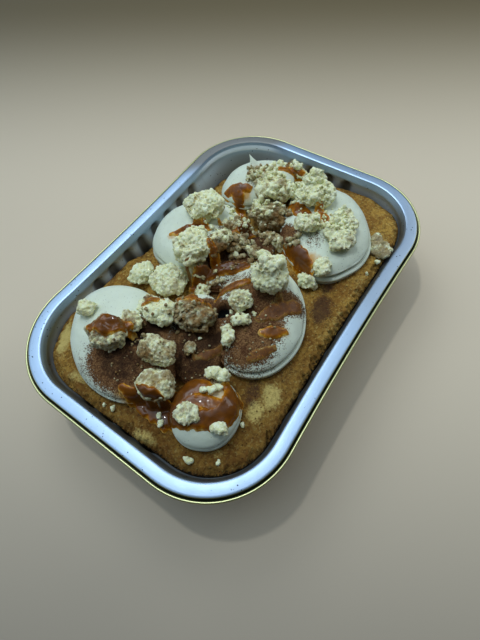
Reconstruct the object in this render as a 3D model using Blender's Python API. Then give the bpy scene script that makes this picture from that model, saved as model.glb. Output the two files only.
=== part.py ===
"""Crumb coffee cake baked in its own foil tray, topped with cream, streusel and caramel.

The tray stands on z = 0 with its long side along X. Every piece is its own closed solid. Each
one is shaped by what already lies under it or beside it, with a fine gap between them.
Lengths are in metres and angles in degrees.
"""

import math
import random

import bmesh
import bpy
from mathutils import Matrix, Vector, noise
from mathutils.bvhtree import BVHTree

# Tray, outside sizes
TRAY_LENGTH = 0.200
TRAY_WIDTH = 0.140
TRAY_HEIGHT = 0.042
CORNER_RADIUS = 0.040
SIDE_BOW = 0.001
FOIL = 0.0006

# Tray rim, wall and floor, as distances in from the rim's outline and down from its top
BEAD_RADIUS = 0.00115
BEAD_DROP = 0.0012
BEAD_ANGLES = (110, 40, -30, -95)
FLANGE_OUTER = 0.0027
FLANGE_INNER = 0.0076
WALL_TOP = 0.0090
WALL_SLOPE = 0.22
SHOULDER_DROP = 0.0020
BASE_RISE = 0.0045
BASE_FILLET = 0.0030
# Where the fillet and the shoulder bend, as shares of their sizes
FILLET_IN = 0.2
FILLET_UP = 0.4
SHOULDER_BEND = 0.3
# How far the bead's end is tucked under the flange
BEAD_TUCK = 0.0004

# Flutes pressed into the straight parts of the wall
FLUTE_PITCH = 0.0115
FLUTE_DEPTH = 0.0013
FLUTE_START = 0.0055
FLUTE_FADE = 0.6
LONG_SIDE_FLUTES = 8
SHORT_SIDE_FLUTES = 4
COLUMNS_PER_FLUTE = 3
CORNER_STEPS = 7

# Cake
FIT_GAP = 0.0004
WALL_GAP = 0.0006
EDGE_GAP = 0.0010
EDGE_ROUND = 0.0020
EDGE_DROOP = 0.3
CAKE_RINGS = (1.0, 0.91, 0.79, 0.64, 0.46, 0.25)
CRUST_LUMP = 0.0010
CRUST_LUMP_SIZE = 0.012
# How far a level's pull reaches, and how soft it is at the level itself
LEVEL_REACH = 0.010
LEVEL_SOFTNESS = 0.5
# How far the crust lies below the rim: x, y, drop
CRUST_LEVELS = (
    (-0.089, 0.000, 0.0030),
    (-0.086, 0.038, 0.0045),
    (-0.060, 0.056, 0.0065),
    (-0.030, 0.058, 0.0075),
    (0.000, 0.058, 0.0115),
    (0.035, 0.058, 0.0125),
    (0.058, 0.056, 0.0160),
    (0.078, 0.046, 0.0180),
    (0.088, 0.010, 0.0090),
    (0.086, -0.030, 0.0060),
    (0.070, -0.055, 0.0035),
    (0.020, -0.058, 0.0020),
    (-0.030, -0.058, 0.0030),
    (-0.065, -0.056, 0.0040),
    (-0.086, -0.040, 0.0050),
    (-0.050, 0.010, 0.0040),
    (0.000, 0.025, 0.0045),
    (0.000, -0.020, 0.0035),
    (0.048, 0.015, 0.0055),
    (0.048, -0.025, 0.0035),
)
# Crumbs baked onto the crust: x, y, size
STUCK_CRUMBS = (
    (-0.0855, 0.004, 0.0040),
    (-0.084, -0.036, 0.0055),
    (-0.078, -0.047, 0.0035),
    (0.036, -0.056, 0.0035),
    (0.062, -0.052, 0.0060),
    (-0.040, -0.050, 0.0070),
    (-0.028, -0.053, 0.0050),
)
STUCK_RISE = 0.12
STUCK_SEED = 40.0

# Cream: name, centre x and y, half length, half width, turn, height, crease depth
# The two in the valleys are low beds between the dollops.
CREAM = (
    ("cream_front_left", -0.058, 0.021, 0.033, 0.024, 67, 0.0140, 0.015),
    ("cream_front_right", -0.065, -0.031, 0.016, 0.015, 0, 0.0120, 0.010),
    ("cream_middle_right", -0.015, -0.025, 0.030, 0.022, 25, 0.0145, 0.055),
    ("cream_middle_left", 0.010, 0.031, 0.026, 0.025, 15, 0.0140, 0.015),
    ("cream_back_right", 0.047, -0.026, 0.032, 0.023, 32, 0.0140, 0.055),
    ("cream_back_left", 0.060, 0.025, 0.0225, 0.018, -35, 0.0150, 0.010),
    ("cream_valley_front", -0.038, -0.007, 0.023, 0.013, 32, 0.0085, 0.000),
    ("cream_valley_back", 0.008, 0.0015, 0.021, 0.011, -14, 0.0075, 0.000),
)
CREAM_BEDS = ("cream_valley_front", "cream_valley_back")
# Profile of a dollop from its top ring down: share of its width, share of its height
CREAM_PROFILE = (
    (0.10, 0.995),
    (0.32, 0.97),
    (0.56, 0.90),
    (0.77, 0.77),
    (0.91, 0.60),
    (0.97, 0.46),
    (0.97, 0.36),
    (1.00, 0.26),
    (0.98, 0.10),
    (0.90, 0.00),
    (0.50, 0.00),
)
CREASE_RING = 6
CREAM_SEGMENTS = 16
BED_SEGMENTS = 10
CREAM_WANDER = 0.06
WANDER_WAVES = 1.3
WANDER_SEED = 100
# A dollop's heart, from which it is fitted among the others, as a share of its height
HEART_RISE = 0.4
PEAK_ON = "cream_back_left"
PEAK_RISE = (0.0065, 0.0035)
PEAK_LEAN = (0.003, 0.008)

# Thick caramel fused to the cream: dollop, x, y, length, width, thickness, turn
CARAMEL = (
    ("cream_middle_left", 0.005, 0.036, 0.016, 0.006, 0.004, -70),
    ("cream_back_left", 0.046, 0.028, 0.012, 0.009, 0.004, -60),
    ("cream_back_right", 0.051, -0.011, 0.014, 0.010, 0.004, -70),
    ("cream_back_right", 0.026, -0.024, 0.014, 0.010, 0.005, 20),
    ("cream_middle_right", -0.006, -0.031, 0.018, 0.011, 0.004, -72),
    ("cream_middle_right", -0.018, -0.036, 0.010, 0.006, 0.003, -60),
    ("cream_front_right", -0.060, -0.030, 0.020, 0.016, 0.006, -60),
    ("cream_front_right", -0.071, -0.022, 0.013, 0.012, 0.006, 30),
)
CARAMEL_SINK = 0.2
CARAMEL_SEED = 60.0

# Streusel: name, x, y, length, width, height; clumps lie across the tray's diagonal
CRUMBS = (
    ("crumb_standing", -0.002, -0.023, 0.018, 0.019, 0.021),
    ("crumb_left_back", 0.019, 0.030, 0.021, 0.020, 0.012),
    ("crumb_fold", -0.009, 0.015, 0.013, 0.012, 0.008),
    ("crumb_left_front", -0.004, 0.0205, 0.019, 0.022, 0.012),
    ("crumb_back_wide", 0.056, -0.014, 0.021, 0.019, 0.011),
    ("crumb_heap_lower", 0.041, 0.004, 0.023, 0.018, 0.016),
    ("crumb_heap_upper", 0.054, 0.010, 0.022, 0.021, 0.013),
    ("crumb_back_crest", 0.078, 0.013, 0.020, 0.009, 0.008),
    ("crumb_back_edge", 0.081, -0.002, 0.012, 0.011, 0.016),
    ("crumb_right_upper", 0.037, -0.020, 0.015, 0.011, 0.008),
    ("crumb_right_long", 0.043, -0.036, 0.0165, 0.030, 0.005),
    ("crumb_right_edge", 0.021, -0.038, 0.009, 0.012, 0.007),
    ("crumb_right_low", 0.016, -0.034, 0.012, 0.010, 0.007),
    ("crumb_left_corner", -0.024, 0.042, 0.013, 0.0165, 0.010),
    ("crumb_left_block", -0.021, 0.025, 0.0205, 0.019, 0.013),
    ("crumb_left_rim", -0.058, 0.041, 0.010, 0.009, 0.007),
    ("crumb_front_link", -0.052, 0.017, 0.012, 0.011, 0.005),
    ("crumb_caramel", -0.063, 0.021, 0.020, 0.017, 0.012),
    ("crumb_front_long", -0.042, 0.012, 0.020, 0.016, 0.009),
    ("crumb_broad_end", -0.029, -0.009, 0.006, 0.012, 0.007),
    ("crumb_front_broad", -0.033, -0.002, 0.021, 0.018, 0.011),
    ("crumb_front_dark", -0.057, -0.001, 0.020, 0.014, 0.010),
    ("crumb_front_pale", -0.068, -0.009, 0.018, 0.017, 0.011),
    ("crumb_small_front", -0.047, -0.010, 0.006, 0.008, 0.005),
    ("crumb_middle", -0.018, -0.018, 0.012, 0.012, 0.008),
    ("crumb_middle_low", -0.025, -0.023, 0.010, 0.007, 0.005),
    ("crumb_middle_flat", -0.034, -0.022, 0.007, 0.011, 0.005),
    ("crumb_between", -0.051, -0.028, 0.013, 0.010, 0.007),
    ("crumb_pool", -0.071, -0.028, 0.011, 0.011, 0.006),
    ("crumb_pool_edge", -0.068, -0.042, 0.008, 0.006, 0.005),
    ("crumb_gap", -0.017, 0.007, 0.009, 0.009, 0.007),
    ("crumb_stained", 0.0125, 0.008, 0.013, 0.014, 0.007),
    ("crumb_left_side", 0.007, 0.012, 0.0125, 0.019, 0.009),
    ("crumb_behind", 0.013, -0.004, 0.013, 0.006, 0.005),
    ("crumb_top_edge", 0.0575, 0.021, 0.019, 0.014, 0.004),
    ("crumb_back_link", 0.065, 0.003, 0.010, 0.008, 0.014),
    ("crumb_on_crust", 0.054, -0.0535, 0.013, 0.020, 0.005),
    ("crumb_hollow", 0.022, 0.011, 0.012, 0.008, 0.006),
    ("crumb_bridge", 0.029, -0.009, 0.022, 0.010, 0.009),
)
CRUMB_TURN = -72
CRUMB_TURN_SPREAD = 20
CRUMB_SINK = 0.42
FINE_CRUMB = 0.0175
TINY_CRUMB = 0.0060
# Lumps of a clump: how strong, how many to its radius, and the distance that leaves it as it is
CRUMB_LUMP = 0.42
LUMP_COUNT = 1.5
LUMP_MIDDLE = 0.38
CRUMB_ROUGH = 0.12
ROUGH_COUNT = 3.2
SEED_STRIDE = Vector((1.7, 0.9, -2.3))

# Creases steeper than this stay sharp in the shading
SHARP_ANGLE = 50

# Fitting a piece among the others
LEAST_GAP = 0.00031
FIT_STEP = 0.0002
FIT_ROUNDS = 20
STEEPEST = 0.35
DEEPEST_PULL = 0.2


def clear_scene():
    """Remove every object, so that the file can be run again."""
    for item in list(bpy.data.objects):
        bpy.data.objects.remove(item)


def paint(item, name, colour, roughness, metallic=0.0):
    """Give the object a material of its own colour and finish."""
    material = bpy.data.materials.get(name) or bpy.data.materials.new(name)
    material.use_nodes = True
    shader = material.node_tree.nodes["Principled BSDF"]
    shader.inputs["Base Color"].default_value = (*colour, 1.0)
    shader.inputs["Roughness"].default_value = roughness
    shader.inputs["Metallic"].default_value = metallic
    item.data.materials.append(material)


def place(builder, name, collection, centre=Vector()):
    """Turn a bmesh in world coordinates into a named object standing at its centre."""
    bmesh.ops.translate(builder, verts=builder.verts, vec=-centre)
    bmesh.ops.recalc_face_normals(builder, faces=builder.faces)
    mesh = bpy.data.meshes.new(name)
    builder.to_mesh(mesh)
    builder.free()
    mesh.shade_smooth()
    mesh.set_sharp_from_angle(angle=math.radians(SHARP_ANGLE))
    item = bpy.data.objects.new(name, mesh)
    item.location = centre
    collection.objects.link(item)
    bpy.context.view_layer.update()
    return item


def loft(builder, rings, close_top=True):
    """Join rings of equal length by quads, and close the ends."""
    loops = [[builder.verts.new(point) for point in ring] for ring in rings]
    count = len(loops[0])
    for lower, upper in zip(loops, loops[1:]):
        for index in range(count):
            following = (index + 1) % count
            builder.faces.new((lower[index], lower[following], upper[following], upper[index]))
    builder.faces.new(reversed(loops[0]))
    if close_top:
        builder.faces.new(loops[-1])
    return loops


def side_columns(centre, along, out, flutes):
    """Columns down one straight side of the wall: plain ends with the flutes between them."""
    half = abs(centre.x * along.x) + abs(centre.y * along.y)
    columns = []
    fluted = flutes * FLUTE_PITCH / 2
    steps = flutes * COLUMNS_PER_FLUTE
    places = [(-half, 0.0)]
    for step in range(steps + 1):
        depth = math.sin(math.pi * step / COLUMNS_PER_FLUTE) ** 2
        places.append((fluted * (2 * step / steps - 1), depth))
    places.append((half, 0.0))
    for shift, depth in places:
        bow = SIDE_BOW * (1 - (shift / half) ** 2) if flutes == LONG_SIDE_FLUTES else 0.0
        point = out * (abs(centre.dot(out)) + CORNER_RADIUS - bow) + along * shift
        columns.append((point, out, depth))
    return columns


def rim_columns():
    """Columns round the wall: the point on the rim's outline, the way out, the flute's depth."""
    centre = Vector((TRAY_LENGTH / 2 - CORNER_RADIUS, TRAY_WIDTH / 2 - CORNER_RADIUS))
    columns = []
    for quarter in range(4):
        facing = math.radians(90 * quarter)
        out = Vector((round(math.cos(facing)), round(math.sin(facing))))
        along = Vector((-out.y, out.x))
        flutes = LONG_SIDE_FLUTES if quarter % 2 else SHORT_SIDE_FLUTES
        columns.extend(side_columns(centre, along, out, flutes))
        corner = Vector(((out.x + along.x) * centre.x, (out.y + along.y) * centre.y))
        for step in range(1, CORNER_STEPS):
            angle = facing + math.radians(90 * step / CORNER_STEPS)
            way = Vector((math.cos(angle), math.sin(angle)))
            columns.append((corner + way * CORNER_RADIUS, way, 0.0))
    return columns


def ring_points(columns, inset, drop, flute_depth=0.0):
    """One ring round the tray: each column moved in, and out again where a flute is."""
    height = TRAY_HEIGHT - drop
    return [
        (*(point - out * (inset - flute_depth * flute)), height) for point, out, flute in columns
    ]


def wall_inset(drop):
    """How far in the wall's inner face stands, at a drop below the rim."""
    return WALL_TOP + WALL_SLOPE * drop


def make_tray(collection):
    """The foil tray: a thin wall from the floor up over the flange to the rolled bead."""
    floor_drop = TRAY_HEIGHT - FOIL
    wall_drop = TRAY_HEIGHT - BASE_RISE
    floor_inset = wall_inset(floor_drop)
    low_flute = FLUTE_FADE * FLUTE_DEPTH
    inside = (
        (floor_inset + BASE_FILLET, floor_drop, 0.0),
        (floor_inset + FILLET_IN * BASE_FILLET, floor_drop - FILLET_UP * BASE_FILLET, 0.0),
        (wall_inset(wall_drop), wall_drop, low_flute),
        (wall_inset(FLUTE_START), FLUTE_START, FLUTE_DEPTH),
        (wall_inset(SHOULDER_DROP), SHOULDER_DROP, 0.0),
        (0.5 * (FLANGE_INNER + WALL_TOP) + FOIL / 2, SHOULDER_BEND * SHOULDER_DROP, 0.0),
        (FLANGE_INNER, 0.0, 0.0),
        (FLANGE_OUTER, 0.0, 0.0),
    )
    turns = [math.radians(angle) for angle in BEAD_ANGLES]
    reach = max(math.cos(turn) for turn in turns)
    bead = [
        (BEAD_RADIUS * (reach - math.cos(turn)), BEAD_DROP - BEAD_RADIUS * math.sin(turn), 0.0)
        for turn in turns
    ]
    outside = (
        (FLANGE_OUTER + FOIL / 2, FOIL + BEAD_TUCK, 0.0),
        (FLANGE_INNER - FOIL / 3, FOIL, 0.0),
        (wall_inset(SHOULDER_DROP) - FOIL, SHOULDER_DROP + FOIL / 2, 0.0),
        (wall_inset(FLUTE_START) - FOIL, FLUTE_START + FOIL / 3, FLUTE_DEPTH),
        (wall_inset(wall_drop) - FOIL, wall_drop + FOIL / 3, low_flute),
        (floor_inset + BASE_FILLET - FOIL / 2, TRAY_HEIGHT, 0.0),
    )
    columns = rim_columns()
    builder = bmesh.new()
    loft(builder, [ring_points(columns, *section) for section in (*inside, *bead, *outside)])
    tray = place(builder, "foil_tray", collection)
    paint(tray, "foil", (0.62, 0.66, 0.72), 0.28, 1.0)
    return tray


def crust_height(x, y):
    """Height of the crust: a surface through the measured levels, with soft lumps."""
    weighted = 0.0
    total = 0.0
    for level_x, level_y, drop in CRUST_LEVELS:
        away = math.hypot(x - level_x, y - level_y) / LEVEL_REACH
        weight = 1 / (away ** 2 + LEVEL_SOFTNESS) ** 2
        weighted += weight * drop
        total += weight
    lumps = CRUST_LUMP * noise.noise(Vector((x, y, 0.0)) / CRUST_LUMP_SIZE)
    return TRAY_HEIGHT - weighted / total + lumps


def crust_edge(point, out):
    """Where the crust ends at one column of the wall: it stands off the wall at its own height."""
    inset = wall_inset(EDGE_ROUND)
    for _ in range(4):
        height = crust_height(*(point - out * inset))
        inset = wall_inset(TRAY_HEIGHT - height + EDGE_ROUND) + EDGE_GAP
    return Vector((*(point - out * inset), height))


def make_cake(collection):
    """The baked cake: it fills the tray, shrinks off the wall and ends in a rounded crust."""
    columns = [column for column in rim_columns() if column[2] < 0.01]
    floor_drop = TRAY_HEIGHT - FOIL - FIT_GAP
    floor_inset = wall_inset(floor_drop) + WALL_GAP
    waist = 0.5 * TRAY_HEIGHT
    rings = [
        ring_points(columns, floor_inset + BASE_FILLET, floor_drop),
        ring_points(columns, floor_inset, floor_drop - BASE_FILLET),
        ring_points(columns, wall_inset(waist) + WALL_GAP, waist),
    ]
    edge = [crust_edge(point, out) for point, out, _ in columns]
    rings.append([(point.x, point.y, point.z - EDGE_ROUND) for point in edge])
    for share in CAKE_RINGS:
        ring = []
        for point in edge:
            shrink = 1 - EDGE_ROUND / point.xy.length if share == 1.0 else share
            x, y = point.xy * shrink
            droop = EDGE_DROOP * EDGE_ROUND if share == 1.0 else 0.0
            ring.append((x, y, crust_height(x, y) - droop))
        rings.append(ring)
    builder = bmesh.new()
    top = loft(builder, rings, close_top=False)[-1]
    middle = builder.verts.new((0.0, 0.0, crust_height(0.0, 0.0)))
    for first, second in zip(top, top[1:] + top[:1]):
        builder.faces.new((first, second, middle))
    bmesh.ops.triangulate(builder, faces=builder.faces)
    cake = place(builder, "cake", collection)
    paint(cake, "crust", (0.42, 0.22, 0.07), 0.75)
    return cake


def fuse(item, pieces):
    """Join the collection's pieces to the object in one union, and remove them."""
    join = item.modifiers.new("fuse", "BOOLEAN")
    join.operation = "UNION"
    join.operand_type = "COLLECTION"
    join.collection = pieces
    shaped = item.evaluated_get(bpy.context.evaluated_depsgraph_get())
    mesh = bpy.data.meshes.new_from_object(shaped)
    item.modifiers.clear()
    item.data = mesh
    for piece in list(pieces.objects):
        bpy.data.objects.remove(piece)
    bpy.data.collections.remove(pieces)


def new_collection(name):
    """A collection linked to the scene."""
    collection = bpy.data.collections.new(name)
    bpy.context.scene.collection.children.link(collection)
    return collection


def lump(direction, seed):
    """Radius factor of a crumbly clump: rounded lumps with creases between them."""
    shift = seed * SEED_STRIDE
    near = noise.voronoi(direction * LUMP_COUNT + shift)[0][0]
    roughness = CRUMB_ROUGH * noise.noise(direction * ROUGH_COUNT + shift)
    return 1.0 + CRUMB_LUMP * (LUMP_MIDDLE - near) + roughness


def clump(size, turn, seed, detail):
    """A lumpy ball of the given size about the origin."""
    builder = bmesh.new()
    bmesh.ops.create_icosphere(builder, subdivisions=detail, radius=0.5)
    spin = Matrix.Rotation(math.radians(turn), 3, "Z")
    for vert in builder.verts:
        vert.co = spin @ (vert.co * lump(vert.co.normalized(), seed) * Vector(size))
    return builder


def stick_crumbs(cake):
    """Fuse the small crumbs that baked onto the crust into the cake."""
    pieces = new_collection("stuck_crumbs")
    for index, (x, y, size) in enumerate(STUCK_CRUMBS):
        detail = 1 if size < TINY_CRUMB else 2
        builder = clump((size, size, size), 0, STUCK_SEED + index, detail)
        centre = Vector((x, y, crust_height(x, y) + STUCK_RISE * size))
        bmesh.ops.translate(builder, verts=builder.verts, vec=centre)
        place(builder, f"stuck_crumb_{index}", pieces)
    fuse(cake, pieces)


def world_tree(item):
    """A search tree of the object's faces in world coordinates, with its points."""
    points = [item.matrix_world @ vert.co for vert in item.data.vertices]
    faces = [tuple(face.vertices) for face in item.data.polygons]
    return BVHTree.FromPolygons(points, faces), points


def fit_among(builder, centre, settled):
    """Pull the shape in, towards its centre, until it stays a fine gap clear of what is there."""
    trees = [world_tree(item) for item in settled]
    for vert in builder.verts:
        ray = vert.co - centre
        reach = ray.length
        ray.normalize()
        for tree, _ in trees:
            hit, normal, _, distance = tree.ray_cast(centre, ray)
            if hit is not None:
                slant = max(abs(ray.dot(normal)), STEEPEST)
                reach = min(reach, max(distance - FIT_GAP / slant, DEEPEST_PULL * distance))
        vert.co = centre + ray * reach
    for _ in range(FIT_ROUNDS):
        crowded = crowded_verts(builder, centre, trees)
        if not crowded:
            break
        for vert in crowded:
            vert.co += (centre - vert.co).normalized() * FIT_STEP


def crowded_verts(builder, centre, trees):
    """The vertices whose faces cross another piece or come nearer to it than the gap."""
    builder.faces.ensure_lookup_table()
    own = BVHTree.FromBMesh(builder)
    reach = max((vert.co - centre).length for vert in builder.verts) + FIT_GAP
    crowded = set()
    for tree, points in trees:
        for index, _ in own.overlap(tree):
            crowded.update(builder.faces[index].verts)
        for point in points:
            if (point - centre).length < reach:
                _, _, index, distance = own.find_nearest(point)
                if distance < LEAST_GAP:
                    crowded.update(builder.faces[index].verts)
        for vert in builder.verts:
            if tree.find_nearest(vert.co)[3] < LEAST_GAP:
                crowded.add(vert)
    return crowded


def top_of(x, y, settled):
    """Height of the highest piece under a point."""
    heights = [0.0]
    for item in settled:
        hit = world_tree(item)[0].ray_cast(Vector((x, y, 1.0)), Vector((0.0, 0.0, -1.0)))[0]
        if hit is not None:
            heights.append(hit.z)
    return max(heights)


def shape_dollop(builder, spec):
    """Turn a ball into a dollop: its profile, its outline, and a base that lies on the crust."""
    name, x, y, half_length, half_width, turn, height, crease = spec
    top = crust_height(x, y) + height
    spin = Matrix.Rotation(math.radians(turn), 2)
    rings = len(CREAM_PROFILE) + 1
    for vert in builder.verts:
        ring = round(rings * math.acos(max(-1.0, min(1.0, vert.co.z))) / math.pi)
        way = vert.co.xy.normalized() if 0 < ring < rings else Vector((0.0, 0.0))
        share, rise = CREAM_PROFILE[min(max(ring, 1), rings - 1) - 1]
        if ring - 1 == CREASE_RING:
            share -= crease
        wander = 1 + CREAM_WANDER * noise.noise(Vector((*way, WANDER_SEED * x)) * WANDER_WAVES)
        flat = spin @ Vector((way.x * half_length, way.y * half_width)) * share * wander
        base = crust_height(x + flat.x, y + flat.y) + FIT_GAP
        vert.co = (x + flat.x, y + flat.y, base + rise * (top - base))
        if name == PEAK_ON and ring < len(PEAK_RISE):
            pull = PEAK_RISE[ring]
            lean = pull / PEAK_RISE[0]
            vert.co += Vector((PEAK_LEAN[0] * lean, PEAK_LEAN[1] * lean, pull))


def add_caramel(cream, settled):
    """Fuse the thick caramel onto its dollop."""
    drops = [spec for spec in CARAMEL if spec[0] == cream.name]
    if not drops:
        return
    pieces = new_collection("caramel")
    for index, (_, x, y, length, width, thickness, turn) in enumerate(drops):
        centre = Vector((x, y, top_of(x, y, [cream]) - CARAMEL_SINK * thickness))
        builder = clump((length, width, thickness), turn, CARAMEL_SEED + index, 2)
        bmesh.ops.translate(builder, verts=builder.verts, vec=centre)
        fit_among(builder, centre, settled)
        place(builder, f"caramel_{index}", pieces)
    fuse(cream, pieces)


def make_cream(spec, settled, collection):
    """One dollop of piped cream with the caramel that lies on it."""
    name, x, y = spec[:3]
    centre = Vector((x, y, crust_height(x, y) + HEART_RISE * spec[6]))
    builder = bmesh.new()
    segments = BED_SEGMENTS if name in CREAM_BEDS else CREAM_SEGMENTS
    bmesh.ops.create_uvsphere(
        builder, u_segments=segments, v_segments=len(CREAM_PROFILE) + 1, radius=1.0
    )
    shape_dollop(builder, spec)
    fit_among(builder, centre, settled)
    cream = place(builder, name, collection, centre)
    add_caramel(cream, settled)
    paint(cream, "cream", (0.80, 0.78, 0.62), 0.45)
    return cream


def make_crumb(spec, seed, settled, collection):
    """One clump of streusel, pressed onto whatever it lies on."""
    name, x, y, length, width, height = spec
    centre = Vector((x, y, top_of(x, y, settled) + CRUMB_SINK * height))
    turn = CRUMB_TURN + random.Random(name).uniform(-CRUMB_TURN_SPREAD, CRUMB_TURN_SPREAD)
    builder = clump((length, width, height), turn, seed, 3 if min(length, width) > FINE_CRUMB else 2)
    bmesh.ops.translate(builder, verts=builder.verts, vec=centre)
    fit_among(builder, centre, settled)
    crumb = place(builder, name, collection, centre)
    paint(crumb, "streusel", (0.62, 0.50, 0.24), 0.9)
    return crumb


def main():
    """Build the tray, then the cake, the cream and the crumbs, each on what is there before it."""
    clear_scene()
    parts = new_collection("crumb_coffee_cake")
    cake = make_cake(parts)
    stick_crumbs(cake)
    settled = [make_tray(parts), cake]
    for spec in CREAM:
        settled.append(make_cream(spec, settled, parts))
    for index, spec in enumerate(CRUMBS):
        settled.append(make_crumb(spec, float(index), settled, parts))


main()
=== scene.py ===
"""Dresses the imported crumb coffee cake: foil, crust, cream, streusel, caramel and cinnamon.

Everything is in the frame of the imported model: metres, with the tray standing on z = 0 and its
long side along X. Tables of places and sizes are in millimetres, which their names say.
"""

import itertools
import logging
import math
from dataclasses import dataclass, field
from enum import Enum
from typing import Any, Iterable, Sequence

import bmesh
import bpy
import numpy as np
from mathutils import Euler, Matrix, Vector, noise
from mathutils.bvhtree import BVHTree


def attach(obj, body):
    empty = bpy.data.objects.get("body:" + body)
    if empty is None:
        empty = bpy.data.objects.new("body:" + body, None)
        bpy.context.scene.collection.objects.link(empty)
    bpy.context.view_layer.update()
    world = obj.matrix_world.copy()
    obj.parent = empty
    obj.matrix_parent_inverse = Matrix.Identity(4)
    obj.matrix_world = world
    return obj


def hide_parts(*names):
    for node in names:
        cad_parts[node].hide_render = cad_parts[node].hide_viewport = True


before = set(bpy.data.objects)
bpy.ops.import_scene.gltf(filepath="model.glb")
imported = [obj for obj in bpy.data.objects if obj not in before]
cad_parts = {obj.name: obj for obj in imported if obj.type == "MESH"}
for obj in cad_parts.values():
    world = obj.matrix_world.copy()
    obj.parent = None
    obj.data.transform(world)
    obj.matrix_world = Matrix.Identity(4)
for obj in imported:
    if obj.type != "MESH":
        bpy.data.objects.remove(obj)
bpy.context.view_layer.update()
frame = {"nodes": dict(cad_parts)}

LOG = logging.getLogger("crumb_cake")
MM = 0.001
BODY = "root"

Colour = tuple[float, float, float]
Place = tuple[float, float, float]
Setting = dict[str, Any]
Item = bpy.types.Object
Material = bpy.types.Material
Rows = np.ndarray


def tone(*parts: int) -> Colour:
    """A linear colour from the red, green and blue numbers, 0 to 255, of a screen."""
    shares = [value / 255 for value in parts]
    return tuple(((s + 0.055) / 1.055) ** 2.4 if s > 0.04045 else s / 12.92 for s in shares)


def scaled(colour: Colour, share: float) -> Colour:
    """A colour made darker."""
    return tuple(share * part for part in colour)


def rows_of(kind: type, *rows: tuple[Any, ...]) -> tuple[Any, ...]:
    """Things of one kind, each from a row that holds its fields in their order."""
    return tuple(kind(*row) for row in rows)


# Shader trees


class Wire:
    """An output socket of a shader tree; operators on it add Math nodes."""

    def __init__(self, builder: "Builder", socket: bpy.types.NodeSocket) -> None:
        """Keep the tree's builder and the socket."""
        self.builder = builder
        self.socket = socket

    def join(self, operation: str, *terms: Any) -> "Wire":
        """The output of a new Math node that takes these wires or numbers."""
        return self.builder.node("Math", {"operation": operation}, dict(enumerate(terms)))

    def __add__(self, other: Any) -> "Wire":
        """This plus other."""
        return self.join("ADD", self, other)

    def __radd__(self, other: Any) -> "Wire":
        """Other plus this."""
        return self.join("ADD", other, self)

    def __sub__(self, other: Any) -> "Wire":
        """This minus other."""
        return self.join("SUBTRACT", self, other)

    def __rsub__(self, other: Any) -> "Wire":
        """Other minus this."""
        return self.join("SUBTRACT", other, self)

    def __mul__(self, other: Any) -> "Wire":
        """This times other."""
        return self.join("MULTIPLY", self, other)

    def most(self, other: Any) -> "Wire":
        """The larger of this and other."""
        return self.join("MAXIMUM", self, other)


class Builder:
    """Adds nodes to a shader tree."""

    def __init__(self, tree: bpy.types.NodeTree) -> None:
        """Keep the tree."""
        self.tree = tree

    def node(self, kind: str, settings: Setting, sockets: Setting, output: Any = 0) -> Wire:
        """Add any node.

        Args:
            kind: The node's type, without ShaderNode.
            settings: Its properties, set first.
            sockets: Numbers, colours or wires by input socket, by name or by place.
            output: The output to give back, by name or by place.

        Returns:
            The chosen output.
        """
        node = self.tree.nodes.new(f"ShaderNode{kind}")
        for key, value in settings.items():
            setattr(node, key, value)
        for key, value in sockets.items():
            self.feed(node.inputs[key], value)
        return Wire(self, node.outputs[output])

    def feed(self, socket: bpy.types.NodeSocket, value: Any) -> None:
        """Link a wire to a socket, or set its value.

        Args:
            socket: The input socket.
            value: A wire, a number or a colour.
        """
        if isinstance(value, Wire):
            self.tree.links.new(value.socket, socket)
        else:
            socket.default_value = (*value, 1.0) if socket.type == "RGBA" else value

    def ramp(self, stops: Sequence[tuple[float, Colour]], value: Wire) -> Wire:
        """Turn a number into a colour.

        Args:
            stops: Places along the ramp and their colours.
            value: The number.

        Returns:
            The colour.
        """
        wire = self.node("ValToRGB", {}, {"Fac": value}, "Color")
        elements = wire.socket.node.color_ramp.elements
        while len(elements) < len(stops):
            elements.new(0.5)
        for element, (place, colour) in zip(elements, stops):
            element.position = place
            element.color = (*colour, 1.0)
        return wire

    def dot(self, first: Wire, second: Place) -> Wire:
        """How far one vector reaches along another."""
        return self.node("VectorMath", {"operation": "DOT_PRODUCT"}, {0: first, 1: second}, "Value")


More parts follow.
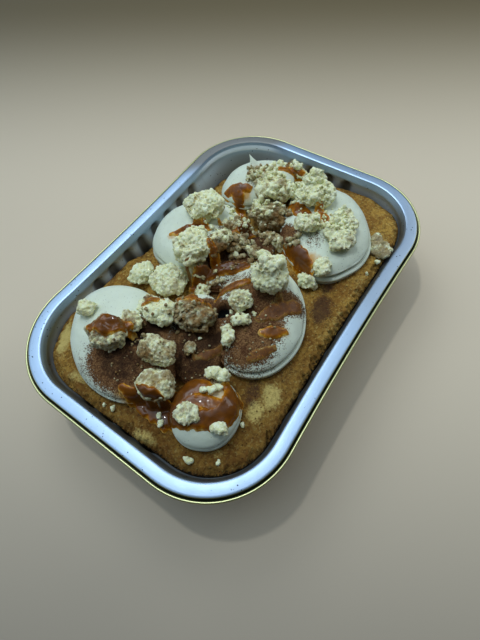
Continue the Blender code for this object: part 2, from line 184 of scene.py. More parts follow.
class Shader(Builder):
    """A material under construction, with its Principled node."""

    def __init__(self, name: str) -> None:
        """Make the material and find its Principled node."""
        self.material = bpy.data.materials.new(name)
        self.material.use_nodes = True
        super().__init__(self.material.node_tree)
        self.surface = self.tree.nodes["Principled BSDF"]
        self.place = self.node("TexCoord", {}, {}, "Object")

    def axis(self, name: str) -> Wire:
        """The place along X, Y or Z."""
        return self.node("SeparateXYZ", {}, {0: self.place}, name)

    def mottle(self, size_mm: float, detail: float = 2.0, warp: float = 0.0) -> Wire:
        """Soft noise between 0 and 1.

        Args:
            size_mm: The size of its blotches.
            detail: Its octaves.
            warp: Its distortion.

        Returns:
            The noise.
        """
        sockets = {"Vector": self.place, "Scale": 1 / (size_mm * MM), "Detail": detail}
        sockets |= {"Roughness": 0.6, "Distortion": warp}
        return self.node("TexNoise", {}, sockets, "Fac")

    def grains(self, size_mm: float) -> Wire:
        """Distance to the nearest grain of a size, in such sizes."""
        return self.node("TexVoronoi", {}, {"Vector": self.place, "Scale": 1 / (size_mm * MM)}, "Distance")

    def field(self, name: str) -> Wire:
        """A number that the mesh holds at its points."""
        return self.node("Attribute", {"attribute_name": name}, {}, "Fac")

    def step(self, value: Wire, low: float, high: float) -> Wire:
        """Rise smoothly from 0 at low to 1 at high."""
        sockets = {"Value": value, "From Min": low, "From Max": high}
        return self.node("MapRange", {"interpolation_type": "SMOOTHSTEP"}, sockets)

    def mix(self, share: Any, first: Any, second: Any) -> Wire:
        """Blend a colour with a share of a second one."""
        return self.node("Mix", {"data_type": "RGBA"}, {"Factor": share, 6: first, 7: second}, 2)

    def layered(self, shade: Any, *layers: tuple[Wire, Any]) -> Wire:
        """Lay colours over a colour, one after the other.

        Args:
            shade: The colour below.
            layers: How much of each colour shows, and the colour.

        Returns:
            The colour that is seen.
        """
        for share, colour in layers:
            shade = self.mix(share, shade, colour)
        return shade

    def close(self, relief: Wire, depth_mm: float, strength: float, sockets: Setting) -> Material:
        """Feed the Principled node.

        Args:
            relief: The height of the surface's relief, about 0 to 1.
            depth_mm: How deep that is.
            strength: How strongly it acts.
            sockets: Other values or wires by socket name.

        Returns:
            The finished material.
        """
        bump = {"Strength": strength, "Distance": depth_mm * MM, "Height": relief}
        for key, value in (sockets | {"Normal": self.node("Bump", {}, bump)}).items():
            self.feed(self.surface.inputs[key], value)
        return self.material


# Finishes


@dataclass(frozen=True)
class FoilFinish:
    """Rolled aluminium, silver or lacquered gold, with fine rolling marks and dust, and with painted sheen,
    shade and highlight in its colour.
    """

    name: str
    colour: Colour
    roughness: float
    inside: float = 1.0
    # Painted sheen: a pale blue diffuse colour on the lower wall, standing for the sky it reflects.
    wall: Colour = (0.70, 0.82, 0.94)
    # Painted shade for the lower wall, the far end's wall and the near sides' lip.
    shadow: Colour = tone(92, 84, 62)
    # Painted shade in the flutes' recesses.
    recess_shade: Colour = tone(76, 66, 46)
    # Painted shade: a dull grey for the far and near-right flange, standing for the dark surroundings it
    # reflects.
    flange_shade: Colour = (0.25, 0.235, 0.205)
    # Painted highlight: a pale line on the far shoulder.
    highlight_line: Colour = (0.90, 0.96, 1.0)
    crumbs: Colour = tone(40, 34, 28)
    # Painted shade in the groove by the bead and under the bead.
    groove: Colour = tone(34, 40, 26)

    def material(self) -> Material:
        """Build the material."""
        shader = Shader(self.name)
        mottle, step = shader.mottle, shader.step
        along, across, height = shader.axis("X"), shader.axis("Y"), shader.axis("Z")
        inside = self.inside
        haze = mottle(9.0, 3.0)
        dirt = step(shader.grains(1.6), 0.16, 0.06) * step(mottle(4.0), 0.5, 0.62)
        crumbs = step(shader.grains(2.0), 0.20, 0.12) * step(mottle(8.0, 3.0), 0.50, 0.60)
        # Painted shade in the groove between flange and bead, and under the bead.
        grooves = shader.field("groove")
        # The lower wall, which gets the painted sheen, less metal and more roughness.
        wall = step(height, 0.0385, 0.0345) * inside
        near_side = step(across, -0.045, -0.062)
        near = step(along, -0.055, -0.075).most(near_side)
        far = step(along * 0.6 + across * 0.8, 0.074, 0.086) * inside
        # Where the flange's painted shade lies: the far corner and part of the near-right side.
        right = step(along, -0.01, 0.03) * near_side * 0.35
        flange_shade = far.most(right * inside) * step(height, 0.0418, 0.0420)
        # Painted highlight line low on the far shoulder, with less metal.
        highlight_line = far * step(height, 0.0408, 0.0402) * step(height, 0.0376, 0.0386)
        shade = shader.layered(
            self.colour,
            (haze * 0.25, scaled(self.colour, 0.8)),
            (wall * 0.75, self.wall),
            # Painted shade: the wall darker towards the crust.
            (step(height, 0.036, 0.025) * 0.5 * inside, self.shadow),
            # Painted shade in the flutes' recesses, by how deep each is pressed.
            (step(shader.field("recess"), 0.10, 1.0) * inside * 0.85, self.recess_shade),
            # Painted shade on the far end's wall.
            (wall * step(along, 0.055, 0.085) * 0.55, self.shadow),
            # Painted shade on the lip of the near sides.
            (step(height, 0.0416, 0.0402) * inside * near * 0.58, self.shadow),
            (flange_shade * 0.92, self.flange_shade),
            (highlight_line * 0.9, self.highlight_line),
            (dirt * 0.7, scaled(self.colour, 0.25)),
            (crumbs * 0.85 * inside, self.crumbs),
            (grooves, self.groove),
        )
        return shader.close(mottle(0.7, 3.0) * 0.35 + mottle(5.0) * 0.65, 0.12, 0.5, {
            "Base Color": shade,
            "Metallic": 1.0 - wall * 0.6 - highlight_line * 0.75,
            "Roughness": self.roughness + haze * 0.1 + grooves * 0.4 + wall * 0.12 + flange_shade * 0.2,
        })


@dataclass(frozen=True)
class CrustFinish:
    """Golden cake crust: mottled brown, pale where streusel baked in, with painted shade at its near side,
    in its pores and at its edge by the wall.
    """

    golden: Colour = tone(178, 137, 62)
    brown: Colour = tone(134, 91, 37)
    deep: Colour = tone(72, 42, 14)
    pale: Colour = tone(208, 186, 112)
    powder: Colour = tone(72, 46, 32)
    # Painted shade of the gap between the crust and the wall.
    edge_shade: Colour = tone(26, 18, 8)
    # The way away from the viewer; the crust gets painted shade on the near side.
    view: Place = (0.757, 0.654, 0.0)

    def material(self) -> Material:
        """Build the material."""
        shader = Shader("baked_crust")
        mottle, step, field_of = shader.mottle, shader.step, shader.field
        coarse = mottle(9.0, 4.0, 0.4)
        fine = mottle(1.5, 3.0)
        cloud = mottle(3.6, 3.0) * 0.6 + fine * 0.4
        grain = cloud * 0.6 + mottle(0.8, 2.0) * 0.4
        dust = field_of("dust") + (cloud - 0.5) * 1.2 + (mottle(0.6, 2.0) - 0.5)
        pores = step(shader.grains(2.6), 0.17, 0.08)
        edge = step(field_of("edge") + (mottle(1.1, 3.0) - 0.5) * 2.4, 0.60, 0.85)
        shade = shader.layered(
            self.brown,
            (step(coarse * 0.55 + fine * 0.45, 0.38, 0.62), self.golden),
            (step(mottle(1.1, 2.0, 0.5), 0.56, 0.68) * 0.5, self.pale),
            (step(mottle(1.7, 4.0, 0.4), 0.50, 0.62) * 0.45, self.deep),
            (step(mottle(0.75, 2.0), 0.56, 0.70) * 0.72, self.deep),
            # Painted shade: the crust darker towards its near side.
            (step(shader.dot(shader.place, self.view), 0.0, -0.09) * 0.55, self.deep),
            (step(field_of("patch") + (grain - 0.5) * 2.0, 0.40, 1.0) * 0.75, self.pale),
            (step(dust, 0.4, 0.9) * 0.85, self.powder),
            # Painted shade in the pores.
            (pores * 0.7, self.deep),
            # Painted shade: a ragged near-black band where the crust meets the wall on the near side.
            (edge * 0.9, self.edge_shade),
        )
        crumb = shader.grains(1.2) * 0.45 + mottle(0.8, 3.0) * 0.75 - pores * 0.8
        return shader.close(crumb, 0.55, 0.9, {
            "Base Color": shade,
            "Roughness": 0.8 + fine * 0.15,
            "Specular IOR Level": 0.14,
        })


@dataclass(frozen=True)
class CreamFinish:
    """Piped cream: smooth and cool white, with cinnamon powder and caramel stains on it, and painted shade
    and shadow where the dust is strongest.
    """

    white: Colour = (0.80, 0.84, 0.67)
    shaded: Colour = (0.69, 0.73, 0.57)
    amber: Colour = tone(206, 150, 58)
    powder: Colour = tone(84, 50, 26)
    powder_light: Colour = tone(146, 106, 66)
    # Heavy cinnamon, darkened further as painted shade.
    powder_and_shade: Colour = tone(44, 24, 11)

    def material(self) -> Material:
        """Build the material."""
        shader = Shader("piped_cream")
        mottle, step = shader.mottle, shader.step
        dust = shader.field("dust")
        grit = mottle(0.55, 2.0) * 0.6 + mottle(2.2, 3.0) * 0.4
        specks = step(dust + (grit - 0.5) * 2.0, 0.52, 0.80)
        clouds = mottle(0.6, 2.0) * 0.6 + mottle(5.5, 3.0) * 0.4
        powder = shader.layered(
            self.powder,
            (step(clouds, 0.42, 0.62), self.powder_light),
            # Heavy powder, darkened further as painted shade in the valleys.
            (step(dust + (mottle(2.6, 3.0) - 0.5) * 0.9, 1.15, 1.75) * 0.85, self.powder_and_shade),
            # Painted shadow: black in the hole and the deepest crevices.
            (step(dust, 1.8, 2.1), (0.0, 0.0, 0.0)),
        )
        pits = step(shader.grains(1.4), 0.17, 0.09) * step(mottle(5.0), 0.38, 0.6)
        shade = shader.layered(
            self.white,
            (mottle(6.0), self.shaded),
            (step(shader.field("soak") + (mottle(3.0) - 0.5) * 0.5, 0.3, 0.9), self.amber),
            (specks, powder),
            (pits * 0.6, self.powder),
        )
        return shader.close(mottle(0.5, 2.0) * specks * 1.6 + mottle(2.4, 3.0) * 0.5, 0.22, 0.8, {
            "Base Color": shade,
            "Roughness": 0.42 + specks * 0.45,
            "Specular IOR Level": 0.18,
            "Subsurface Weight": 0.2,
            "Subsurface Radius": (1.0, 0.9, 0.7),
            "Subsurface Scale": 0.0014,
        })


@dataclass(frozen=True)
class StreuselFinish:
    """Baked butter crumbs: pale and sandy, with painted shade in the pits, soaked and dusted in places."""

    light: Colour = tone(246, 248, 212)
    sandy: Colour = tone(233, 229, 174)
    # Painted shade in the hollows.
    pit: Colour = tone(182, 152, 76)
    stained: Colour = tone(142, 106, 56)
    soaked: Colour = tone(140, 88, 30)
    soaked_dark: Colour = tone(84, 48, 20)
    powder: Colour = tone(86, 58, 32)

    def material(self) -> Material:
        """Build the material."""
        shader = Shader("streusel")
        mottle, step = shader.mottle, shader.step
        dust = shader.field("dust")
        soak = step(shader.field("soak") + (mottle(2.4, 2.0) - 0.5) * 0.9, 0.34, 0.80)
        syrup = shader.mix(step(mottle(1.6, 2.0), 0.35, 0.65), self.soaked, self.soaked_dark)
        shade = shader.layered(
            self.light,
            (step(mottle(1.8, 3.0), 0.36, 0.64), self.sandy),
            # Painted shade in the hollows.
            (step(shader.field("pit"), 0.22, 0.92) * 0.72, self.pit),
            (soak * 0.92, syrup),
            (step(dust + (mottle(4.0, 3.0) - 0.5) * 1.9, 0.34, 0.82) * 0.75, self.stained),
            (step(dust * 0.6 + (mottle(0.30, 1.0) - 0.5) * 2.0, 0.60, 0.76) * 0.7, self.powder),
        )
        return shader.close(mottle(0.40, 3.0) * 0.8 + shader.grains(0.7) * 0.4, 0.30, 0.9, {
            "Base Color": shade,
            "Roughness": 0.9 - soak * 0.5,
            "Specular IOR Level": 0.12,
            "Subsurface Weight": 0.2,
            "Subsurface Radius": (1.0, 0.8, 0.45),
            "Subsurface Scale": 0.0008,
        })


@dataclass(frozen=True)
class CaramelFinish:
    """Caramel sauce: amber where it is thin, nearly black-brown where it is deep, and glossy."""

    stops: tuple[tuple[float, Colour], ...] = (
        (0.0, tone(230, 186, 96)), (0.08, tone(214, 146, 34)), (0.22, tone(168, 98, 14)),
        (0.48, tone(126, 70, 8)), (0.85, tone(100, 55, 14)),
    )
    powder: Colour = tone(84, 60, 46)

    def material(self) -> Material:
        """Build the material."""
        shader = Shader("caramel_sauce")
        mottle = shader.mottle
        depth = shader.field("depth") + (mottle(2.8, 3.0, 0.6) - 0.5) * 0.9
        powder = shader.step(shader.field("dust") + (mottle(0.5, 2.0) - 0.5) * 1.2, 0.4, 0.9)
        return shader.close(mottle(2.5, 2.0), 0.25, 0.5, {
            "Base Color": shader.mix(powder * 0.75, shader.ramp(self.stops, depth), self.powder),
            "Roughness": 0.26 + powder * 0.5,
            "Specular IOR Level": 0.14,
            "Coat Weight": 0.45 - powder * 0.4,
            "Coat Roughness": 0.02,
        })


@dataclass(frozen=True)
class FloorFinish:
    """A plain pale table top, with painted shade at its near side, where the viewer stands, and at its far
    side.
    """

    colour: Colour = (0.73, 0.59, 0.425)
    near: Colour = (0.29, 0.235, 0.175)
    far: Colour = (0.18, 0.128, 0.056)
    slope: Place = (0.819, 0.464, 0.0)

    def material(self) -> Material:
        """Build the material."""
        shader = Shader("table_top")
        along = shader.dot(shader.place, self.slope)
        # Painted shade: darker towards the near and the far side.
        near, far = shader.step(along, -0.01, -0.22), shader.step(along, 0.08, 0.37)
        shade = shader.layered(self.colour, (near, self.near), (far, self.far))
        shader.feed(shader.surface.inputs["Base Color"], shade)
        shader.feed(shader.surface.inputs["Roughness"], 0.6)
        return shader.material


# Mesh tools


def placed(name: str, data: Any) -> Item:
    """Put a mesh, a lamp or a camera into the scene.

    Args:
        name: The object's name.
        data: What it shows.

    Returns:
        The object.
    """
    item = bpy.data.objects.new(name, data)
    bpy.context.scene.collection.objects.link(item)
    return item


def make_object(name: str, points: Rows, faces: Iterable[Iterable[int]]) -> Item:
    """Make a smooth-shaded mesh object.

    Args:
        name: The object's name.
        points: Its points, one row each.
        faces: The point numbers of each face.

    Returns:
        The object.
    """
    mesh = bpy.data.meshes.new(name)
    mesh.from_pydata(points.tolist(), [], [list(map(int, face)) for face in faces])
    mesh.validate()
    mesh.shade_smooth()
    return placed(name, mesh)


def gathered(parts: Any, key: str, width: int, kind: type = float) -> Rows:
    """One property of each part of a mesh.

    Args:
        parts: The points, edges or triangles.
        key: The property.
        width: How many numbers it has.
        kind: The kind of number.

    Returns:
        The numbers, one row for each part.
    """
    found = np.empty(len(parts) * width, dtype=kind)
    parts.foreach_get(key, found)
    return found.reshape(-1, width)


def mesh_points(item: Item) -> Rows:
    """The object's points, one row each."""
    return gathered(item.data.vertices, "co", 3)


def mesh_normals(item: Item) -> Rows:
    """The normals at the object's points, one row each."""
    return gathered(item.data.vertices, "normal", 3)


def triangles_of(item: Item) -> Rows:
    """The point numbers of the object's triangles."""
    item.data.calc_loop_triangles()
    return gathered(item.data.loop_triangles, "vertices", 3, np.int32)


def set_points(item: Item, points: Rows) -> None:
    """Move the object's points."""
    item.data.vertices.foreach_set("co", points.ravel())
    item.data.update()


def set_fields(item: Item, **fields: Rows) -> None:
    """Store numbers at each point, by name, for the materials."""
    for name, values in fields.items():
        item.data.attributes.new(name, "FLOAT", "POINT").data.foreach_set("value", values.astype(np.float32))


def hollowness(item: Item, rounds: int, depth: float) -> Rows:
    """How deep each point lies in a hollow of the surface, from 0 to 1.

    Args:
        item: The object.
        rounds: How often the surface is relaxed to find its hollows.
        depth: The depth that counts as 1.

    Returns:
        One number for each point.
    """
    points = smooth = mesh_points(item)
    edges = gathered(item.data.edges, "vertices", 2, np.int32)
    count = np.bincount(edges.ravel(), minlength=len(points))[:, None].clip(1)
    for _ in range(rounds):
        total = np.zeros_like(points)
        np.add.at(total, edges[:, 0], smooth[edges[:, 1]])
        np.add.at(total, edges[:, 1], smooth[edges[:, 0]])
        smooth = 0.5 * smooth + 0.5 * total / count
    return (((smooth - points) * mesh_normals(item)).sum(1) / depth).clip(0, 1)


def rough(points: Rows, size: float, seed: float, octaves: int = 1) -> Rows:
    """Smooth noise at each point, about -1 to 1, from the size of its waves and its finer layers."""
    places = points / size + (seed * 13.7, seed * 7.3, seed * 3.1)
    return np.array([noise.fractal(Vector(place), 0.8, 2.0, octaves) for place in places])


def nearest_cell(points: Rows, size: float, seed: int) -> Rows:
    """Distance to the nearest of one random point in each cube of a grid, in cube sizes.

    Args:
        points: The points, one row each.
        size: The size of a cube.
        seed: Which random points.

    Returns:
        One distance for each point.
    """
    places = points / size
    nearest = np.full(len(points), 9.0)
    for step in itertools.product((-1, 0, 1), repeat=3):
        cell = np.floor(places).astype(np.int64) + step
        mixed = (cell * (73856093, 19349663, 83492791)).sum(1) + seed * 2654435761
        spot = np.stack([((mixed ^ (mixed >> 13)) * prime) % 1021 / 1021 for prime in (31, 57, 101)], 1)
        nearest = np.minimum(nearest, np.linalg.norm(cell + spot - places, axis=1))
    return nearest


def ball(detail: int) -> tuple[Rows, Rows]:
    """A ball of radius 1, subdivided so often: its points and its triangles.

    Args:
        detail: How often it is subdivided.

    Returns:
        Its points and the point numbers of its triangles.
    """
    builder = bmesh.new()
    bmesh.ops.create_icosphere(builder, subdivisions=detail, radius=1.0)
    points = np.array([vert.co[:] for vert in builder.verts])
    faces = np.array([[vert.index for vert in face.verts] for face in builder.faces])
    builder.free()
    return points, faces


def copies(shells: Rows, faces: Rows) -> tuple[Rows, Rows]:
    """Join copies of one shell: all points, and the faces of each copy."""
    first = (np.arange(len(shells)) * shells.shape[1])[:, None, None]
    return shells.reshape(-1, 3), (faces[None] + first).reshape(-1, 3)


def tube(count: int, rings: int, downward: bool = False) -> list[tuple[int, ...]]:
    """The faces of a stack of rings with a cap at each end.

    Args:
        count: How many points a ring has.
        rings: How many rings there are.
        downward: Whether the stack runs down.

    Returns:
        The point numbers of each face.
    """
    last = (rings - 1) * count
    first_cap, last_cap = tuple(range(count)), tuple(range(last, last + count))
    walls = []
    for low in range(0, last, count):
        for column in range(count):
            following = (column + 1) % count
            quad = (low + column, low + following, low + count + following, low + count + column)
            walls.append((quad[0], *quad[:0:-1]) if downward else quad)
    return [first_cap, *walls, last_cap[::-1]] if downward else [first_cap[::-1], *walls, last_cap]


def remeshed(name: str, points: Rows, faces: Rows, voxel: float) -> Item:
    """Fuse overlapping shells into one even skin.

    Args:
        name: The new object's name.
        points: The shells' points.
        faces: The shells' triangles.
        voxel: The size of the skin's faces.

    Returns:
        The fused object.
    """
    shells = make_object("unfused", points, faces)
    skin = shells.modifiers.new("fuse", "REMESH")
    skin.mode = "VOXEL"
    skin.voxel_size = voxel
    mesh = bpy.data.meshes.new_from_object(shells.evaluated_get(bpy.context.evaluated_depsgraph_get()))
    bpy.data.objects.remove(shells)
    mesh.name = name
    mesh.shade_smooth()
    return placed(name, mesh)


class Ground:
    """The surfaces that are already there, looked at from above."""

    def __init__(self, items: Iterable[Item]) -> None:
        """Look at the objects, each by its box and a search tree over its faces."""
        self.sheets: list[tuple[str, Rows, Rows, BVHTree]] = []
        self.add(items)

    def add(self, items: Iterable[Item]) -> None:
        """Look at more objects.

        Args:
            items: The objects.
        """
        for item in items:
            points = mesh_points(item)
            tree = BVHTree.FromPolygons(points.tolist(), triangles_of(item).tolist(), all_triangles=True)
            self.sheets.append((item.name, points[:, :2].min(0), points[:, :2].max(0), tree))

    def hit(self, x: float, y: float, skipped: Iterable[str] = ()) -> float:
        """The highest surface at a place.

        Args:
            x: Place along X.
            y: Place along Y.
            skipped: Names of the objects to look through.

        Returns:
            Its height, or 0 where there is none.
        """
        highest = 0.0
        for name, low, high, tree in self.sheets:
            if name not in skipped and low[0] <= x <= high[0] and low[1] <= y <= high[1]:
                found = tree.ray_cast(Vector((x, y, 0.3)), Vector((0.0, 0.0, -1.0)))[0]
                if found is not None:
                    highest = max(highest, found.z)
        return highest


@dataclass(frozen=True)
class Spot:
    """A soft stain or patch: where it is, how far it reaches and how strong it is."""

    x_mm: float
    y_mm: float
    length_mm: float
    width_mm: float
    turn: float
    strength: float

    def share(self, points: Rows) -> Rows:
        """How much of it is at each point.

        Args:
            points: The points, one row each.

        Returns:
            One number for each point, up to the strength.
        """
        angle = math.radians(self.turn)
        dx = points[:, 0] / MM - self.x_mm
        dy = points[:, 1] / MM - self.y_mm
        along = (dx * math.cos(angle) + dy * math.sin(angle)) / (self.length_mm / 2)
        across = (dy * math.cos(angle) - dx * math.sin(angle)) / (self.width_mm / 2)
        return self.strength * (1.5 - np.hypot(along, across)).clip(0, 1)


def stain(points: Rows, spots: Iterable[Spot]) -> Rows:
    """The strongest of several spots at each point, or 0."""
    return np.max([np.zeros(len(points)), *(spot.share(points) for spot in spots)], axis=0)


def dress(item: Item, slot: str, *materials: Material) -> Item:
    """Give a piece its materials and its body.

    Args:
        item: The piece.
        slot: Not used.
        materials: The piece's materials, in the order of its faces' numbers.

    Returns:
        The piece.
    """
    for material in materials:
        item.data.materials.append(material)
    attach(item, BODY)
    return item


# Foil tray


@dataclass
class FoilTray:
    """The foil tray: fluted wall, rounded shoulder, flat flange and rolled bead."""

    length: float = 0.200
    width: float = 0.140
    height: float = 0.042
    corner: float = 0.040
    bow: float = 0.001
    foil: float = 0.0006
    bead_radius: float = 0.00056
    bead_drop: float = 0.0015
    flange_outer: float = 0.0019
    flange_inner: float = 0.0076
    flange_sag: float = 0.00012
    wall_top: float = 0.0086
    wall_slope: float = 0.22
    shoulder_drop: float = 0.0030
    base_rise: float = 0.0045
    base_fillet: float = 0.0030
    flute_pitch: float = 0.0115
    flute_depth: float = 0.0018
    flute_top: float = 0.0034
    flute_share: float = 0.40
    flutes: tuple[int, int] = (4, 8)
    flute_steps: int = 12
    corner_steps: int = 26
    unfluted: float = 99.0
    crease_at: float = 0.052
    crease_depth: float = 0.0005
    crease_width: float = 0.0005
    crease_drop: float = 0.018
    inner_drops_mm: tuple[float, ...] = (
        33, 28, 23, 19, 16, 14, 12.5, 11, 10, 9.2, 8.5, 7.8, 7.2, 6.6, 6.1, 5.6, 5.1, 4.6, 4.2, 3.8, 3.4,
    )
    outer_drops_mm: tuple[float, ...] = (3.8, 4.6, 5.6, 6.6, 7.8, 9.2, 11, 14, 20, 28)

    def columns(self) -> tuple[Rows, Rows, Rows]:
        """Columns round the wall.

        Returns:
            Points on the rim's outline, ways out, and shift along the side in flutes.
        """
        centre = np.array([self.length / 2 - self.corner, self.width / 2 - self.corner])
        rows: list[tuple[float, ...]] = []
        for quarter in range(4):
            facing = math.radians(90 * quarter)
            out = np.array([round(math.cos(facing)), round(math.sin(facing))])
            along = np.array([-out[1], out[0]])
            long_side = quarter % 2
            half = float(abs(centre @ along))
            steps = round(2 * half / self.flute_pitch * self.flute_steps)
            for step in range(steps + 1):
                shift = half * (2 * step / steps - 1)
                bow = self.bow * (1 - (shift / half) ** 2) * long_side
                point = out * (abs(centre @ out) + self.corner - bow) + along * shift
                fluted = abs(shift) < self.flutes[long_side] * self.flute_pitch / 2
                rows.append((*point, *out, shift / self.flute_pitch if fluted else self.unfluted + shift))
            for step in range(1, self.corner_steps):
                angle = facing + math.radians(90 * step / self.corner_steps)
                way = np.array([math.cos(angle), math.sin(angle)])
                point = (out + along) * centre * np.abs(out + along) + way * self.corner
                rows.append((*point, *way, self.unfluted))
        table = np.array(rows)
        return table[:, :2], table[:, 2:4], table[:, 4]

    def inset(self, drop: Any) -> Any:
        """How far in the wall's inner face stands, at a drop below the rim."""
        return self.wall_top + self.wall_slope * drop

    def flute(self, phase: Rows, drop: float) -> Rows:
        """How far the wall is pressed out by a flute: an arch that is round at its top.

        Args:
            phase: Shift along the side, in flutes.
            drop: Distance below the rim.

        Returns:
            The depth at each column.
        """
        fallen = min(max((drop - self.flute_top) / (self.flute_share * self.flute_pitch), 0.0), 1.0)
        reach = self.flute_share * math.sqrt(1 - (1 - fallen) ** 2)
        if reach < 0.02:
            return np.zeros(len(phase))
        across = np.abs(phase - np.floor(phase) - 0.5)
        shape = 0.5 + 0.5 * np.cos(np.pi * np.minimum(across / reach, 1.0))
        low = 1 - 0.4 * max(0.0, drop - 0.02) / 0.02
        depth = self.flute_depth * 1.15 * shape ** 0.55 * min(1.0, 0.35 + fallen) * low
        return np.where(np.abs(phase) < self.unfluted / 2, depth, 0.0)

    def sections(self) -> list[tuple[float, float, float, int]]:
        """The wall's section from the inner floor to the outer floor.

        Returns:
            Inset, drop, share of the flutes' depth, and finish number of each ring.
        """
        foil = self.foil
        floor_drop = self.height - foil
        lowest = (self.height - self.base_rise) / MM
        floor_inset = self.inset(floor_drop)
        top_inset = self.inset(self.shoulder_drop)
        rows = [
            (floor_inset + self.base_fillet, floor_drop, 0.0, 0),
            (floor_inset + 0.2 * self.base_fillet, floor_drop - 0.4 * self.base_fillet, 0.0, 0),
        ]
        rows += [(self.inset(drop * MM), drop * MM, 1.0, 0) for drop in (lowest, *self.inner_drops_mm)]
        for degrees in range(0, 91, 15):
            fallen = 1 - math.sin(math.radians(degrees))
            inset = self.flange_inner + (top_inset - self.flange_inner) * fallen
            rows.append((inset, self.shoulder_drop * fallen, 0.0, 0))
        span = self.flange_inner - self.flange_outer
        for share in (0.2, 0.4, 0.6, 0.8, 0.94):
            sag = self.flange_sag * math.sin(math.pi * share)
            rows.append((self.flange_inner - span * share, -sag, 0.0, 0))
        rows += [
            (self.flange_outer - 0.0001, 0.00030, 0.0, 2),
            (self.flange_outer - 0.0003, 0.00110, 0.0, 2),
            (2 * self.bead_radius, self.bead_drop, 0.0, 2),
        ]
        for degrees in range(140, -151, -18):
            angle = math.radians(degrees)
            inset = self.bead_radius * (1 - math.cos(angle))
            rows.append((inset, self.bead_drop - self.bead_radius * math.sin(angle), 0.0, 1))
        rows += [
            (self.flange_outer + foil / 2, foil + 0.0004, 0.0, 1),
            (self.flange_inner - foil / 3, foil, 0.0, 1),
            (top_inset - foil, self.shoulder_drop + foil / 2, 0.0, 1),
        ]
        for drop in (*self.outer_drops_mm, lowest):
            rows.append((self.inset(drop * MM) - foil, drop * MM + foil / 3, 1.0, 1))
        rows.append((floor_inset + self.base_fillet - foil / 2, self.height, 0.0, 1))
        return rows

    def build(self, silver: Material, gold: Material) -> Item:
        """Make the tray and its two finishes.

        Args:
            silver: The bare inside.
            gold: The lacquered outside.

        Returns:
            The tray.
        """
        outline, out, phase = self.columns()
        count = len(outline)
        sections = self.sections()
        rings, recess = [], []
        crease = np.exp(-(((np.abs(phase - self.unfluted) - self.crease_at) / self.crease_width) ** 2))
        for inset, drop, share, _ in sections:
            pressed = self.flute(phase, drop) * share
            # How deep each ring is pressed in the flutes, for the painted shade in the recesses.
            recess.append((pressed / self.flute_depth).clip(0, 1))
            pressed = pressed + crease * share * self.crease_depth * (drop < self.crease_drop)
            place = outline - out * (inset - pressed)[:, None]
            rings.append(np.column_stack([place, np.full(count, self.height - drop)]))
        points = np.concatenate(rings)
        tray = make_object("foil_tray_shell", points, tube(count, len(sections)))
        kinds = [kind for _, _, _, kind in sections]
        under_bead = (self.height - self.bead_drop - points[:, 2]) / self.bead_radius
        away = np.linalg.norm(points[:, :2] - np.tile(outline, (len(sections), 1)), axis=1)
        # Painted shade: the bead's lower outer side darkens together with the groove.
        hidden = np.where(away < 2 * self.bead_radius, (under_bead + 0.35).clip(0, 0.9), 0.0)
        groove = np.maximum(np.repeat(np.equal(kinds, 2), count), hidden)
        set_fields(tray, groove=groove, recess=np.concatenate(recess))
        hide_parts("foil_tray")
        dress(tray, "foil", silver, gold)
        walls = np.repeat(np.minimum(kinds[1:], 1), count)
        tray.data.polygons.foreach_set("material_index", [0, *walls.tolist(), 1])
        return tray


# Cake


